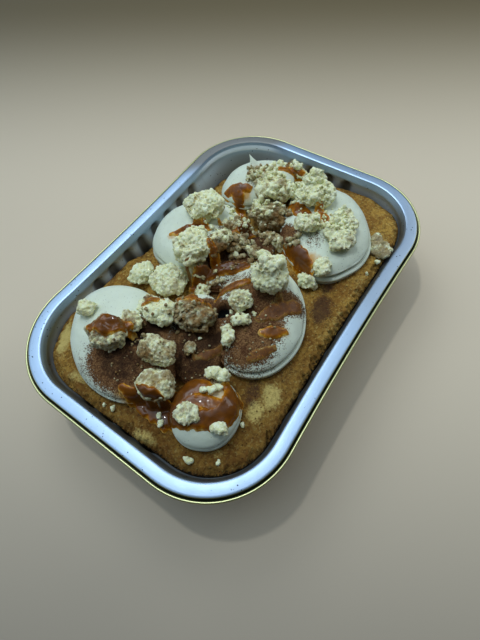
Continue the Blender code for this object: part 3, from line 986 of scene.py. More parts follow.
@dataclass
class Crust:
    """The baked cake with its crumbly top."""

    tray: FoilTray
    levels_mm: tuple[Place, ...] = (
        (-89, 0, 3.0), (-86, 38, 4.5), (-60, 56, 6.5), (-30, 58, 7.5), (0, 58, 11.5),
        (35, 58, 12.5), (58, 56, 16.0), (78, 46, 18.0), (88, 10, 9.0), (86, -30, 6.0),
        (70, -55, 3.5), (20, -58, 2.0), (-30, -58, 3.0), (-65, -56, 4.0), (-86, -40, 5.0),
        (-50, 10, 4.0), (0, 25, 4.5), (0, -20, 3.5), (48, 15, 5.5), (48, -25, 3.5),
    )
    lump: float = 0.0010
    lump_size: float = 0.012
    edge_gap: float = 0.0005
    edge_round: float = 0.0020
    ragged: float = 0.0030
    near_rise: float = 0.0009
    edge_shade_width: float = 0.0016
    around: int = 640
    rings: int = 54
    hidden_rings: int = 10
    hidden_sides: tuple[tuple[float, float], ...] = ((0.86, 0.001), (0.91, 0.010), (0.96, 0.024))
    patches: tuple[Spot, ...] = rows_of(
        Spot,
        (-43, -50, 16, 10, 20, 0.9), (-52, -48, 12, 9, 20, 0.9), (-73, 50, 22, 7, 40, 1),
        (-83, 27, 18, 7, -75, 0.7), (-87, -15, 12, 6, -80, 0.8), (-80, -2, 10, 5, -80, 0.5),
        (55, -53, 22, 9, 10, 0.7), (30, -55, 20, 7, 5, 0.5), (0, -56, 30, 7, 0, 0.45),
        (-75, -45, 10, 8, 40, 0.4),
    )
    dusty: tuple[Spot, ...] = rows_of(
        Spot,
        (6, -47, 20, 12, 20, 0.9), (20, -42, 16, 9, 20, 0.8), (-46, -42, 16, 10, 20, 0.75),
        (-30, -50, 22, 9, 20, 0.55), (-80, -8, 26, 10, -60, 0.5), (-75, 38, 20, 12, 60, 0.45),
        (0, 5, 60, 26, 30, 0.9),
    )

    def height(self, x: Rows, y: Rows) -> Rows:
        """Height of the crust.

        Args:
            x: Places along X.
            y: Places along Y.

        Returns:
            The heights.
        """
        weighted = total = np.zeros_like(x)
        for level_x, level_y, drop in self.levels_mm:
            away = (x - level_x * MM) ** 2 + (y - level_y * MM) ** 2
            weight = 1 / (away * 1e4 + 0.5) ** 2
            weighted = weighted + weight * drop * MM
            total = total + weight
        flat = np.column_stack([x, y, np.zeros_like(x)]) / self.lump_size
        lumps = np.array([noise.noise(Vector(place)) for place in flat])
        return self.tray.height - weighted / total + self.lump * lumps

    def edge(self) -> Rows:
        """Where the crust ends round the wall.

        Returns:
            One point for each column.
        """
        outline, out, _ = self.tray.columns()
        keep = np.linspace(0, len(outline), self.around, endpoint=False).astype(int)
        outline, out = outline[keep], out[keep]
        inset = np.full(len(outline), self.tray.inset(self.edge_round))
        for _ in range(4):
            place = outline - out * inset[:, None]
            level = self.height(*place.T)
            inset = self.tray.inset(self.tray.height - level + self.edge_round) + self.edge_gap
        return np.column_stack([outline - out * inset[:, None], level])

    def build(self, material: Material) -> Item:
        """Make the cake.

        Args:
            material: The crust's finish.

        Returns:
            The cake.
        """
        edge = self.edge()
        reach = np.linalg.norm(edge[:, :2], axis=1)
        ragged = (rough(edge, 0.0030, 5.0, 3) - 0.15).clip(-1.0, 0.15) * self.ragged
        outer = 1 - np.linspace(0, 0.06, 9) ** 1.3
        inner = (np.linspace(0.965, 0.50, self.rings), np.linspace(0.45, 0.02, self.hidden_rings))
        rings = []
        for share, level in self.hidden_sides:
            rings.append(np.column_stack([edge[:, :2] * share, np.full(self.around, level)]))
        rings.append(edge - (0, 0, self.edge_round))
        hidden = len(rings)
        for share in np.unique(np.concatenate([outer, *inner]))[::-1]:
            outermost = min(max((share - 0.90) / 0.09, 0.0), 1.0)
            shrunk = (1 - self.edge_round * 0.5 / reach + ragged / reach * outermost) * share
            place = edge[:, :2] * shrunk[:, None]
            droop = self.edge_round * 0.9 * max(0.0, (share - 0.975) / 0.025) ** 2
            rings.append(np.column_stack([place, self.height(*place.T) - droop]))
        points = np.concatenate(rings)
        cake = make_object("cake_crumb", points, tube(self.around, len(rings)))
        self.relief(cake, points, np.repeat(np.arange(len(rings)) >= hidden, self.around))
        reach = np.tile(reach, len(rings))
        away = 1 - np.linalg.norm(points[:, :2], axis=1) / reach
        # Where the painted shade of the gap by the wall lies: along the crust's edge, on its near side only.
        near_wall = (1 - away * reach / self.edge_shade_width).clip(0, 1)
        near_side = (0.50 - 9.0 * points[:, 1] - 3.0 * points[:, 0]).clip(0.0, 1.0)
        patch, dust = stain(points, self.patches), stain(points, self.dusty)
        set_fields(cake, edge=near_wall * near_side, patch=patch, dust=dust)
        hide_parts("cake")
        return dress(cake, "crust", material)

    def relief(self, cake: Item, points: Rows, top: Rows) -> None:
        """Roughen the crust with soft lumps.

        Args:
            cake: The cake.
            points: Its points.
            top: Which of them belong to the crust.
        """
        x, y = points[:, 0], points[:, 1]
        crumb = rough(points, 0.0026, 3.0, 2)
        broad = rough(points, 0.0060, 4.0, 2)
        side = (0.75 - y / 0.14 - 0.25 * x / 0.2).clip(0.35, 1.3)
        lift = crumb * 0.00036 * side + broad * 0.00035
        lift += stain(points, self.patches) * (crumb * 0.0009 + 0.0005)
        out = np.maximum(np.abs(x) / self.tray.length, np.abs(y) / self.tray.width) * 2
        near = (-y / 0.06 - 0.4 * x / 0.06).clip(0, 1)
        lift += self.near_rise * ((out - 0.70) / 0.12).clip(0, 1) * near
        set_points(cake, points + np.where(top, lift, 0.0)[:, None] * (0, 0, 1))


# Cream


@dataclass(frozen=True)
class Dollop:
    """One dollop of piped cream."""

    name: str
    x_mm: float
    y_mm: float
    half_length_mm: float
    half_width_mm: float
    turn: float
    height_mm: float
    lip: float
    peak: bool = False


@dataclass
class PipedCream:
    """The dollops and the two beds between them, with lips, dents, powder, stains and painted shadow."""

    crust: Crust
    dollops: tuple[Dollop, ...] = rows_of(
        Dollop,
        ("cream_front_left", -58, 21, 33, 24, 67, 14, 0.02),
        ("cream_front_right", -65, -31, 16, 15, 0, 12, 0.01),
        ("cream_middle_right", -15, -25, 30, 22, 25, 14.5, 0.1),
        ("cream_middle_left", 10, 31, 26, 25, 15, 14, 0.015),
        ("cream_back_right", 47, -26, 32, 23, 32, 14, 0.1),
        ("cream_back_left", 60, 25, 22.5, 18, -35, 15, 0.01, True),
        ("cream_valley_front", -38, -7, 24, 14, 32, 8.5, 0),
        ("cream_valley_back", 8, 1.5, 22, 12, -14, 7.5, 0),
    )
    profile: tuple[tuple[float, float], ...] = (
        (0.0, 1.0), (0.10, 0.995), (0.32, 0.97), (0.56, 0.90), (0.77, 0.77), (0.91, 0.60),
        (0.97, 0.46), (0.965, 0.36), (1.00, 0.25), (0.98, 0.10), (0.93, -0.06), (0.5, -0.08),
    )
    crease_rise: float = 0.355
    crease_width: float = 0.045
    crease_facing: float = -95.0
    around: int = 136
    rings: int = 66
    wander: float = 0.06
    peak_widths: tuple[float, float] = (0.10, 0.42)
    peak_lean: tuple[float, float] = (0.003, 0.007)
    peak_rise: float = 0.0070
    grit: float = 0.00032
    least_dust: float = 0.13
    # Strengths above about 1.15 paint the darkest powder, which also stands for shade, and above 1.8 paint
    # black shadow in the hole and the crevices.
    dust: tuple[Spot, ...] = rows_of(
        Spot,
        (-69, 9.5, 32, 24, -72, 1.55), (-54, 10, 24, 16, -72, 1.7), (-74, 16, 36, 26, -72, 0.62),
        (-54, 30, 26, 14, 60, 0.34), (-46, -12, 44, 28, 20, 1.6), (-36, -16, 16, 10, -72, 1.75),
        (-23.5, -11, 10, 8.5, -72, 2.2), (-19, -25, 50, 30, 20, 1.3), (-6, -33, 22, 14, -72, 1.2),
        (-12, -16, 26, 12, -72, 0.75), (-25, -33, 34, 19, 25, 1), (-35.5, -34, 24, 10, -50, 1.15),
        (-7, -3, 18, 8, -60, 0.72), (-14, 1, 12, 8, -60, 1.1), (-22, -2.5, 12, 8, -60, 1.3),
        (-59, 11.5, 14, 7, -50, 1.95), (-47, 9, 12, 7, -60, 1.9), (14, 4, 44, 26, -20, 1.55),
        (34, 10, 26, 18, 0, 1.35), (31, -10, 16, 12, -72, 1.3), (33, -27, 14, 14, -72, 0.58),
        (56, -28, 16, 12, -72, 0.26), (56, 15, 22, 12, -72, 0.95), (4, 12, 26, 16, -60, 1.1),
        (-58, -24, 16, 10, -72, 0.8),
    )
    dents: tuple[Spot, ...] = rows_of(
        Spot,
        (-23.5, -11, 7.5, 6, -72, 6.5), (-54, 10, 12, 8, -72, 2.6), (-36, -13, 10, 7, -72, 1.6),
        (-3, -21, 12, 6, -72, 0.8), (-17, -36, 14, 5, 35, 0.7), (36, -22, 12, 6, 35, 0.8),
        (60, -14, 14, 6, 30, 0.9), (4, 36, 12, 5, 35, 0.7), (-62, 30, 14, 5, -50, 0.5),
    )
    soaked: tuple[Spot, ...] = rows_of(
        Spot,
        (24.6, -34.2, 6, 3, -72, 0.7), (-75, -2, 22, 12, -60, 0.9), (-2, 36, 8, 5, -70, 0.6),
        (-20, -38, 14, 8, -60, 0.7), (-11, -6, 20, 6, -60, 0.55), (-58, -30, 22, 18, -60, 0.6),
        (22, -30, 14, 10, -60, 0.7), (44, 24, 12, 10, -60, 0.7), (60, 24, 10, 6, -60, 0.5),
    )

    def curve(self) -> Rows:
        """The dollop's section as a smooth curve from its top to its base.

        Returns:
            Share of the width and share of the height, one row each.
        """
        anchors = np.array([self.profile[0], *self.profile, self.profile[-1]])
        anchors[0, 0] = -anchors[2, 0]
        rows = []
        for step in np.linspace(0, len(self.profile) - 1.001, self.rings):
            first = int(step)
            t = step - first
            a, b, c, d = anchors[first:first + 4]
            square, cube = 2 * a - 5 * b + 4 * c - d, 3 * b - a - 3 * c + d
            rows.append(0.5 * (2 * b + (c - a) * t + square * t * t + cube * t ** 3))
        return np.array(rows)

    def shape(self, dollop: Dollop) -> tuple[Rows, Rows]:
        """Points of one dollop.

        Args:
            dollop: The dollop.

        Returns:
            The points ring by ring, and the share of the width at each.
        """
        centre = np.array([dollop.x_mm, dollop.y_mm]) * MM
        top = float(self.crust.height(centre[:1], centre[1:])[0]) + dollop.height_mm * MM
        angles = np.linspace(0, 2 * math.pi, self.around, endpoint=False)
        way = np.column_stack([np.cos(angles), np.sin(angles)])
        turn = math.radians(dollop.turn)
        spin = np.array([[math.cos(turn), -math.sin(turn)], [math.sin(turn), math.cos(turn)]])
        seed = 100 * dollop.x_mm * MM
        wander = np.array([1 + self.wander * noise.noise(Vector((*one, seed)) * 1.3) for one in way])
        facing = angles + turn - math.radians(self.crease_facing)
        toward = (0.45 + 0.55 * np.cos(facing)).clip(0.1, 1)
        curve = self.curve()
        rows = []
        for share, rise in curve:
            crease = math.exp(-(((rise - self.crease_rise) / self.crease_width) ** 2))
            above = 0.35 / (1 + math.exp(-(rise - self.crease_rise) / 0.03))
            depth = dollop.lip * (crease + above * min(share, 1.0)) * toward
            flat = way * (dollop.half_length_mm * MM, dollop.half_width_mm * MM)
            flat = flat * (wander * (share - depth))[:, None] @ spin.T + centre
            base = self.crust.height(*flat.T)
            rows.append(np.column_stack([flat, base + rise * (top - base)]))
        return np.concatenate(rows), np.repeat(curve[:, 0], self.around)

    def build(self, material: Material) -> list[Item]:
        """Make the dollops.

        Args:
            material: The cream's finish.

        Returns:
            The dollops.
        """
        made = []
        faces = tube(self.around, self.rings, downward=True)
        for seed, dollop in enumerate(self.dollops):
            points, widths = self.shape(dollop)
            waves = rough(points, 0.009, 20.0 + seed, 2) * 0.0005
            waves = waves + rough(points, 0.0025, 30.0 + seed, 2) * 0.00012
            dust = np.maximum(stain(points, self.dust), self.least_dust)
            grit = rough(points, 0.0015, 40.0 + seed, 2) * (dust - 0.6).clip(0, 0.8) * self.grit
            points[:, 2] += (waves + grit - stain(points, self.dents) * MM) * (widths < 0.96)
            if dollop.peak:
                narrow, wide = (0.5 * np.exp(-widths / width) for width in self.peak_widths)
                rise = narrow + wide
                bend = rise ** 1.5
                lean_x, lean_y = self.peak_lean
                points += np.column_stack([bend * lean_x, bend * lean_y, rise * self.peak_rise])
            cream = make_object(f"{dollop.name}_dollop", points, faces)
            set_fields(cream, dust=dust, soak=stain(points, self.soaked))
            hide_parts(dollop.name)
            made.append(dress(cream, "cream", material))
        return made


# Streusel


@dataclass(frozen=True)
class Splash:
    """A place in space where caramel or cinnamon lies on the clumps around it."""

    x_mm: float
    y_mm: float
    z_mm: float
    reach_mm: float
    soak: float
    dust: float = 0.0


@dataclass
class Streusel:
    """The streusel clumps: each fused from many small grains over its solid."""

    tints: dict[str, tuple[float, float]] = field(default_factory=lambda: {
        "caramel": (0.56, 0.18), "front_broad": (0.62, 0.62), "front_dark": (0.34, 0.6),
        "front_long": (0.2, 0.28), "heap_lower": (0.4, 0.7), "heap_upper": (0.16, 0.48),
        "back_crest": (0.16, 0.4), "stained": (0.55, 0.6), "bridge": (0.42, 0.52), "behind": (0.5, 0.55),
        "hollow": (0.48, 0.52), "middle": (0.3, 0.5), "small_front": (0.52, 0.7),
        "right_upper": (0.16, 0.42), "right_long": (0.14, 0.4), "gap": (0.28, 0.36), "fold": (0.3, 0.4),
        "middle_low": (0.2, 0.36), "middle_flat": (0.2, 0.4), "between": (0.16, 0.3),
        "front_pale": (0.16, 0.54), "on_crust": (0.12, 0.74), "broad_end": (0.55, 0.6),
        "left_block": (0.16, 0.36), "left_rim": (0.16, 0.34), "front_link": (0.36, 0.4),
        "top_edge": (0.22, 0.46), "left_side": (0.26, 0.4), "right_edge": (0.12, 0.3), "pool": (0.48, 0.3),
        "pool_edge": (0.4, 0.24),
    })
    plain_tint: tuple[float, float] = (0.08, 0.24)
    splashes: tuple[Splash, ...] = rows_of(
        Splash,
        (-61, 21, 64, 9, 1, 0.5), (-55, 16, 60, 7, 0.9, 0.6), (-26, 0, 54, 9, 0.9, 0.6),
        (-40, 18, 58, 5, 0.9), (-73, -14, 47, 6, 1), (-72, -27, 48, 5, 0.9), (-3, 12, 46, 7, 0.9, 0.5),
        (38, -2, 46, 8, 0.7, 0.6), (34, 0, 44, 8, 0.6, 0.7), (46, -9, 51, 6, 1, 0.4),
        (76, 12, 45, 6, 1, 0.3), (72, 10, 50, 4, 0.7), (-22, 20, 40, 6, 0.8), (-62, 2, 57, 6, 0.6, 0.95),
        (-57, -8, 56, 3, 0.3, 0.8), (-62, -12, 53, 5, 0.3, 0.9), (2, 9, 52, 7, 0.85, 0.7),
        (36, -3, 41, 6, 0.5, 0.9), (30, -4, 45, 5, 0.4, 0.9),
    )
    grain_pitch: float = 0.00086
    grain_share: float = 0.62
    grain_sizes: tuple[tuple[float, float], ...] = ((0.0009, 0.15), (0.00065, 0.6), (0.0005, 1.0))
    lobe_pitch: float = 0.0050
    lobe_grains: int = 26
    lobe_sizes: tuple[float, float] = (0.0014, 0.0024)
    lobe_proud: tuple[float, float] = (-0.0008, 0.0010)
    core_inset: float = 0.0006
    proud: float = 0.00030
    proud_share: float = 0.42
    voxel: float = 0.00041
    fine_lift: float = 0.00022
    fine_size: float = 0.0009
    broad_lift: float = 0.0015
    broad_size: float = 0.0058
    broad_from: float = 0.015
    pit_depth: float = 0.00022

    def grains(self, node: Item, draw: np.random.Generator) -> tuple[Rows, Rows]:
        """A clump's core and the grains over it, as overlapping shells.

        Args:
            node: The clump's solid.
            draw: The random numbers.

        Returns:
            Points and triangles.
        """
        points = mesh_points(node)
        triangles = triangles_of(node)
        corners = points[triangles]
        crossed = np.cross(corners[:, 1] - corners[:, 0], corners[:, 2] - corners[:, 0])
        double_area = np.linalg.norm(crossed, axis=1)
        area = 0.5 * double_area.sum()
        ways = crossed / double_area[:, None].clip(1e-12)

        def scattered(count: int) -> tuple[Rows, Rows]:
            """Random places on the solid, and the ways out there.

            Args:
                count: How many.

            Returns:
                The places and the ways.
            """
            chosen = draw.choice(len(triangles), count, p=double_area / double_area.sum())
            first, second = draw.random((2, count, 1))
            flip = (first + second) > 1
            first, second = np.where(flip, 1 - first, first), np.where(flip, 1 - second, second)
            a, b, c = corners[chosen].transpose(1, 0, 2)
            return a + (b - a) * first + (c - a) * second, ways[chosen]

        lobes = int(area / self.lobe_pitch ** 2)
        spots, out = scattered(lobes)
        lobe_radius = draw.uniform(*self.lobe_sizes, lobes)
        low, high = self.lobe_proud
        proud = low + (high - low) * draw.random(lobes) ** 2.2
        lobe_centres = spots - out * (lobe_radius - proud)[:, None]
        around = draw.normal(size=(lobes * self.lobe_grains, 3))
        around /= np.linalg.norm(around, axis=1)[:, None]
        held = np.repeat(np.arange(lobes), self.lobe_grains)
        on_lobes = lobe_centres[held] + around * lobe_radius[held][:, None]
        base_spots, base_out = scattered(int(self.grain_share * area / self.grain_pitch ** 2))
        spots = np.concatenate([base_spots, on_lobes])
        out = np.concatenate([base_out, around])
        count = len(spots)
        kind = draw.random(count)
        sizes, shares = zip(*self.grain_sizes)
        radius = np.select([kind < share for share in shares], list(sizes))
        radius = radius * draw.uniform(0.8, 1.25, count)
        lift = (self.proud + self.proud_share * radius) * draw.uniform(-0.5, 1.0, count)
        centres = np.concatenate([spots - out * (radius - lift)[:, None], lobe_centres])
        radius = np.concatenate([radius, 0.9 * lobe_radius])
        unit, unit_faces = ball(1)
        stretch = draw.uniform(0.75, 1.2, (len(radius), 1, 3))
        turned = unit[None] @ self.turns(len(radius), draw)
        shells, shell_faces = copies(turned * stretch * radius[:, None, None] + centres[:, None], unit_faces)
        core = points - mesh_normals(node) * self.core_inset
        return np.concatenate([core, shells]), np.concatenate([triangles, shell_faces + len(core)])

    @staticmethod
    def turns(count: int, draw: np.random.Generator) -> Rows:
        """Random rotations, one matrix each."""
        spun = [Euler(draw.uniform(0, 2 * math.pi, 3)).to_matrix() for _ in range(count)]
        return np.array([[row[:] for row in matrix] for matrix in spun])

    def tinted(self, clump: Item, soaked: float, dusted: float) -> None:
        """Store a clump's soak, dust and painted pit shade.

        Args:
            clump: The clump.
            soaked: How much caramel it carries all over.
            dusted: How much cinnamon it carries all over.
        """
        points = mesh_points(clump)
        soak, dust = np.full(len(points), soaked), np.full(len(points), dusted)
        for splash in self.splashes:
            away = np.linalg.norm(points / MM - (splash.x_mm, splash.y_mm, splash.z_mm), axis=1)
            near = (1.6 - away / splash.reach_mm * 1.3).clip(0, 1)
            soak = np.maximum(soak, near * splash.soak)
            dust = np.maximum(dust, near * splash.dust)
        # The hollows place the painted pit shade.
        set_fields(clump, soak=soak, dust=dust, pit=hollowness(clump, 4, self.pit_depth))

    def build(self, nodes: dict[str, Item], material: Material) -> list[Item]:
        """Make a grainy clump for each streusel solid.

        Args:
            nodes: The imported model's solids by name.
            material: The streusel's finish.

        Returns:
            The clumps.
        """
        made = []
        for seed, name in enumerate(sorted(key for key in nodes if key.startswith("crumb_"))):
            draw = np.random.default_rng(100 + seed)
            clump = remeshed(f"{name}_clump", *self.grains(nodes[name], draw), self.voxel)
            points = mesh_points(clump)
            fine = rough(points, self.fine_size, 50.0 + seed, 2) * self.fine_lift
            share = min(1.0, float(np.ptp(points, axis=0)[:2].min()) / self.broad_from)
            broad = rough(points, self.broad_size, 80.0 + seed, 1) * self.broad_lift * share ** 2
            set_points(clump, points + mesh_normals(clump) * (fine + broad)[:, None])
            self.tinted(clump, *self.tints.get(name.removeprefix("crumb_"), self.plain_tint))
            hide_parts(name)
            made.append(dress(clump, "streusel", material))
        return made


# Caramel


@dataclass(frozen=True)
class Run:
    """A run of sauce: its path as x, y, half width and depth, and what it doesn't lie on."""

    name: str
    path_mm: tuple[tuple[float, float, float, float], ...]
    clear_of: tuple[str, ...] = ()
    dust: float = 0.0


@dataclass
class Sauce:
    """Caramel that drapes over whatever lies under it."""

    runs: tuple[Run, ...] = rows_of(
        Run,
        ("streak", ((-1.6, 37.4, 0.9, 0.6), (1.2, 34.2, 2.8, 1.2), (4.2, 30.6, 3.6, 1.5), (8, 26.2, 3, 1.3),
         (11.5, 22.4, 1.6, 0.8))),
        ("thin", ((17, 19.5, 0.8, 0.5), (21, 16.8, 1.5, 0.7), (25.5, 14.4, 1.3, 0.7), (29, 13, 0.7, 0.5))),
        ("back_drop", ((41.5, 37, 1.2, 0.6), (43.2, 32.2, 2.8, 1.2), (45.2, 27.2, 3.3, 1.6), (47.5, 22.6,
         2.2, 1))),
        ("back_drip", ((43.5, 28.5, 3.2, 1.5), (41.4, 25, 3.2, 1.4), (38.6, 21.4, 2.2, 0.9))),
        ("crest", ((69.5, 16, 1.6, 0.8), (74, 12.6, 2.6, 1), (77.5, 8.2, 2.4, 1), (79, 4.6, 1.4, 0.7))),
        ("heap_gap", ((50, -4, 2.6, 0.9), (45.8, -11, 4.2, 1.2), (44, -16, 3.2, 1)), ("heap_lower",
         "back_wide", "right_upper")),
        ("round_side", ((49, -20, 1.8, 0.8), (47, -24, 2.5, 0.9), (43.2, -27.8, 2.4, 0.9), (41, -29.5, 1.4,
         0.7)), ("right_upper", "right_long")),
        ("great_drop", ((26.8, -8, 1, 0.7), (26, -14, 1.6, 1), (24.2, -20, 3.2, 1.9), (22.3, -25.5, 3.9,
         2.1), (19.8, -30, 3.2, 1.4), (17.6, -33, 1.8, 0.9)), ("bridge", "standing", "right_low")),
        ("upper_band", ((16, 11, 1.6, 1), (22, 7.5, 3.2, 2), (29, 3, 2.2, 1.6)), (), 0.45),
        ("long_band", ((-17, 14, 1.6, 1.4), (-11, 10.2, 2.6, 2.2), (-5, 5.8, 3.2, 2.8), (-0.5, 1.5, 3.2,
         2.8), (4.5, -6, 2.6, 2.2)), ("standing",), 0.5),
        ("lower_band", ((-18.5, -3.5, 1.5, 1.4), (-14, -5.8, 2.2, 1.4), (-9.5, -9.5, 2.4, 1.2), (-5.5, -13.5,
         1.8, 0.9)), ("standing",), 0.6),
        ("left_stain", ((2, 14, 1.4, 0.8), (-0.6, 10.4, 2.4, 1), (-3.4, 8.6, 1.6, 0.8)), (), 0.5),
        ("smear", ((-19, -29.5, 2.6, 0.7), (-12.5, -33, 4.2, 0.8), (-5, -38, 3.6, 0.6)), (), 0.85),
        ("amber", ((-25, -33.5, 1.6, 0.9), (-21.5, -37.2, 3, 1.3), (-18.5, -41, 1.8, 0.9)), (), 0.5),
        ("front_smear", ((-37, -35, 1.6, 0.5), (-33, -38, 2.6, 0.5), (-28, -41, 1.6, 0.5)), (), 0.85),
        ("valley_smear", ((-48.5, -13.5, 1.2, 0.6), (-45, -17, 2.2, 0.9), (-40, -20.5, 1.8, 0.7)), (), 0.9),
        ("thread", ((-10.8, 15.8, 0.35, 0.4), (-13.7, 17, 0.5, 0.5), (-17.2, 14.8, 0.5, 0.5), (-21.3, 9.7,
         0.4, 0.4)), (), 1.2),
        ("coat", ((-64, 26, 3.6, 1.1), (-60.5, 20.5, 5.4, 1.5), (-57, 16.5, 3.8, 1.4)), (), 0.45),
        ("arc", ((-43, 18.5, 1, 0.6), (-36, 13.5, 1.8, 0.7), (-30, 6, 2.4, 0.7), (-25.5, -2.5, 3, 0.7)), (),
         0.6),
        ("pool", ((-77.6, 3, 1.6, 1.1), (-77, -2.5, 3.4, 1.6), (-76, -9, 5, 2), (-75, -17, 5.2, 2.4), (-73,
         -26.5, 4.4, 2), (-70, -33.5, 4, 1.6), (-65, -39.5, 4.6, 1.7), (-60, -40, 4.8, 1.9), (-55.5, -39, 4,
         1.6), (-52, -36, 2.6, 1.2), (-52.5, -33.5, 1.8, 0.9)), ("pool", "pool_edge"), 0.25),
        ("pool_top", ((-74, -16, 4, 2), (-67, -18.5, 5.4, 2), (-61, -21.5, 5.2, 1.6), (-57.5, -26.5, 3.4,
         1.1)), ("front_pale", "between")),
        ("pool_tail", ((-76.5, -15, 3, 1.8), (-79.5, -19.5, 2, 1.4))),
        ("pool_middle", ((-66, -24, 3.6, 1.5), (-63, -30, 3, 1.2), (-61.5, -37, 3.6, 1.2)), ("pool",)),
    )
    spacing: float = 0.00045
    border_mm: float = 2.5
    margin_mm: float = 0.7
    edge_mm: float = 1.5
    edge_fall: float = 1.6
    fade_mm: float = 2.4
    deepest_mm: float = 2.2
    wobble_mm: float = 0.35
    wobble_size_mm: float = 3.2
    wide_wobble: float = 0.13
    ripple: float = 0.45
    ripple_size_mm: float = 3.0
    buried: float = 0.0012
    soften: int = 3

    def reach(self, run: Run, x: Rows, y: Rows) -> tuple[Rows, Rows]:
        """Distance from the run's outline and the depth there.

        Args:
            run: The run.
            x: Places along X in millimetres.
            y: Places along Y in millimetres.

        Returns:
            The distance, negative inside, and the depth of the nearest stretch.
        """
        nearest, depth = np.full(x.shape, 99.0), np.zeros(x.shape)
        for start, end in zip(run.path_mm, run.path_mm[1:]):
            dx, dy = end[0] - start[0], end[1] - start[1]
            t = (((x - start[0]) * dx + (y - start[1]) * dy) / (dx * dx + dy * dy)).clip(0, 1)
            width = start[2] + (end[2] - start[2]) * t
            away = np.hypot(x - start[0] - dx * t, y - start[1] - dy * t) - width
            depth = np.where(away < nearest, start[3] + (end[3] - start[3]) * t, depth)
            nearest = np.minimum(nearest, away)
        return nearest, depth

    @staticmethod
    def blurred(heights: Rows, rounds: int) -> Rows:
        """Soften a grid of heights.

        Args:
            heights: The grid.
            rounds: How often.

        Returns:
            The softened grid.
        """
        for _ in range(rounds):
            wide = np.pad(heights, 1, mode="edge")
            beside = wide[:-2, 1:-1], wide[2:, 1:-1], wide[1:-1, :-2], wide[1:-1, 2:]
            heights = sum(beside, wide[1:-1, 1:-1] * 4) / 8
        return heights

    @staticmethod
    def skin(cells: list[list[int]], count: int) -> list[list[int]]:
        """The faces of a sheet with an equal one under it and a rim between them.

        Args:
            cells: The point numbers of the sheet's faces.
            count: How many points it has.

        Returns:
            The point numbers of each face.
        """
        edges = {pair: None for cell in cells for pair in zip(cell, cell[1:] + cell[:1])}
        rim = [pair for pair in edges if pair[::-1] not in edges]
        under = [[a + count for a in reversed(cell)] for cell in cells]
        return cells + under + [[second, first, first + count, second + count] for first, second in rim]

    def pour(self, run: Run, ground: Ground, seed: int, material: Material) -> Item:
        """Drape one run over the ground.

        Args:
            run: The run.
            ground: What it lies on.
            seed: Which wobble its outline has.
            material: The sauce's finish.

        Returns:
            The sauce.
        """
        path = np.array(run.path_mm)
        widest, deepest = path[:, 2:].max(0)
        low = path[:, :2].min(0) - (widest + self.border_mm)
        high = path[:, :2].max(0) + (widest + self.border_mm)
        along = [np.arange(start, end, self.spacing / MM) for start, end in zip(low, high)]
        x, y = np.meshgrid(*along, indexing="ij")
        away, depth = self.reach(run, x, y)
        flat = np.column_stack([x.ravel(), y.ravel(), np.zeros(x.size)])
        wobble = self.wobble_mm + self.wide_wobble * widest
        away = away + rough(flat, self.wobble_size_mm, seed, 2).reshape(x.shape) * wobble
        blocked = {f"crumb_{name}_clump" for name in run.clear_of}
        heights = np.array([ground.hit(px * MM, py * MM, blocked) for px, py, _ in flat])
        heights = self.blurred(heights.reshape(x.shape), self.soften + int(2 * deepest))
        inward = (-away / self.edge_mm).clip(0, 1)
        thick = depth * np.sqrt(inward * (2 - inward)) - away.clip(0) * self.edge_fall
        ripples = rough(flat, self.ripple_size_mm, seed + 5, 1).reshape(x.shape) * inward
        surface = heights + (thick + self.ripple * thick.clip(0, 1.1) * ripples) * MM
        used = away < self.margin_mm
        count = int(used.sum())
        number = -np.ones(x.shape, dtype=int)
        number[used] = np.arange(count)
        top = np.column_stack([x[used] * MM, y[used] * MM, surface[used]])
        under = top - (0, 0, self.buried) - np.array([(0, 0, 1)]) * (thick[used].clip(0) * MM)[:, None]
        corners = np.stack([number[:-1, :-1], number[1:, :-1], number[1:, 1:], number[:-1, 1:]], -1)
        cells = corners[(corners >= 0).all(-1)].tolist()
        sauce = make_object(f"caramel_{run.name}", np.concatenate([top, under]), self.skin(cells, count))
        spread = 0.3 + 0.7 * (-away[used] / self.fade_mm).clip(0, 1)
        deep = np.tile(thick[used].clip(0, self.deepest_mm) / self.deepest_mm * spread, 2)
        set_fields(sauce, depth=deep, dust=np.full(2 * count, run.dust))
        return dress(sauce, "streusel", material)

    def build(self, ground: Ground, material: Material) -> list[Item]:
        """Pour every run.

        Args:
            ground: What the sauce lies on; the sauce is added to it.
            material: The sauce's finish.

        Returns:
            The sauce's pieces.
        """
        made = [self.pour(run, ground, seed, material) for seed, run in enumerate(self.runs)]
        ground.add(made)
        return made


# Loose crumbs


class CrumbKind(Enum):
    """What a loose crumb has been through."""

    PALE = "loose_crumbs_pale"
    STAINED = "loose_crumbs_stained"


@dataclass(frozen=True)
class Strewn:
    """An area where loose crumbs lie: where, how far, how many and how large."""

    x_mm: float
    y_mm: float
    length_mm: float
    width_mm: float
    turn: float
    count: int
    least_mm: float
    most_mm: float
    stained: bool


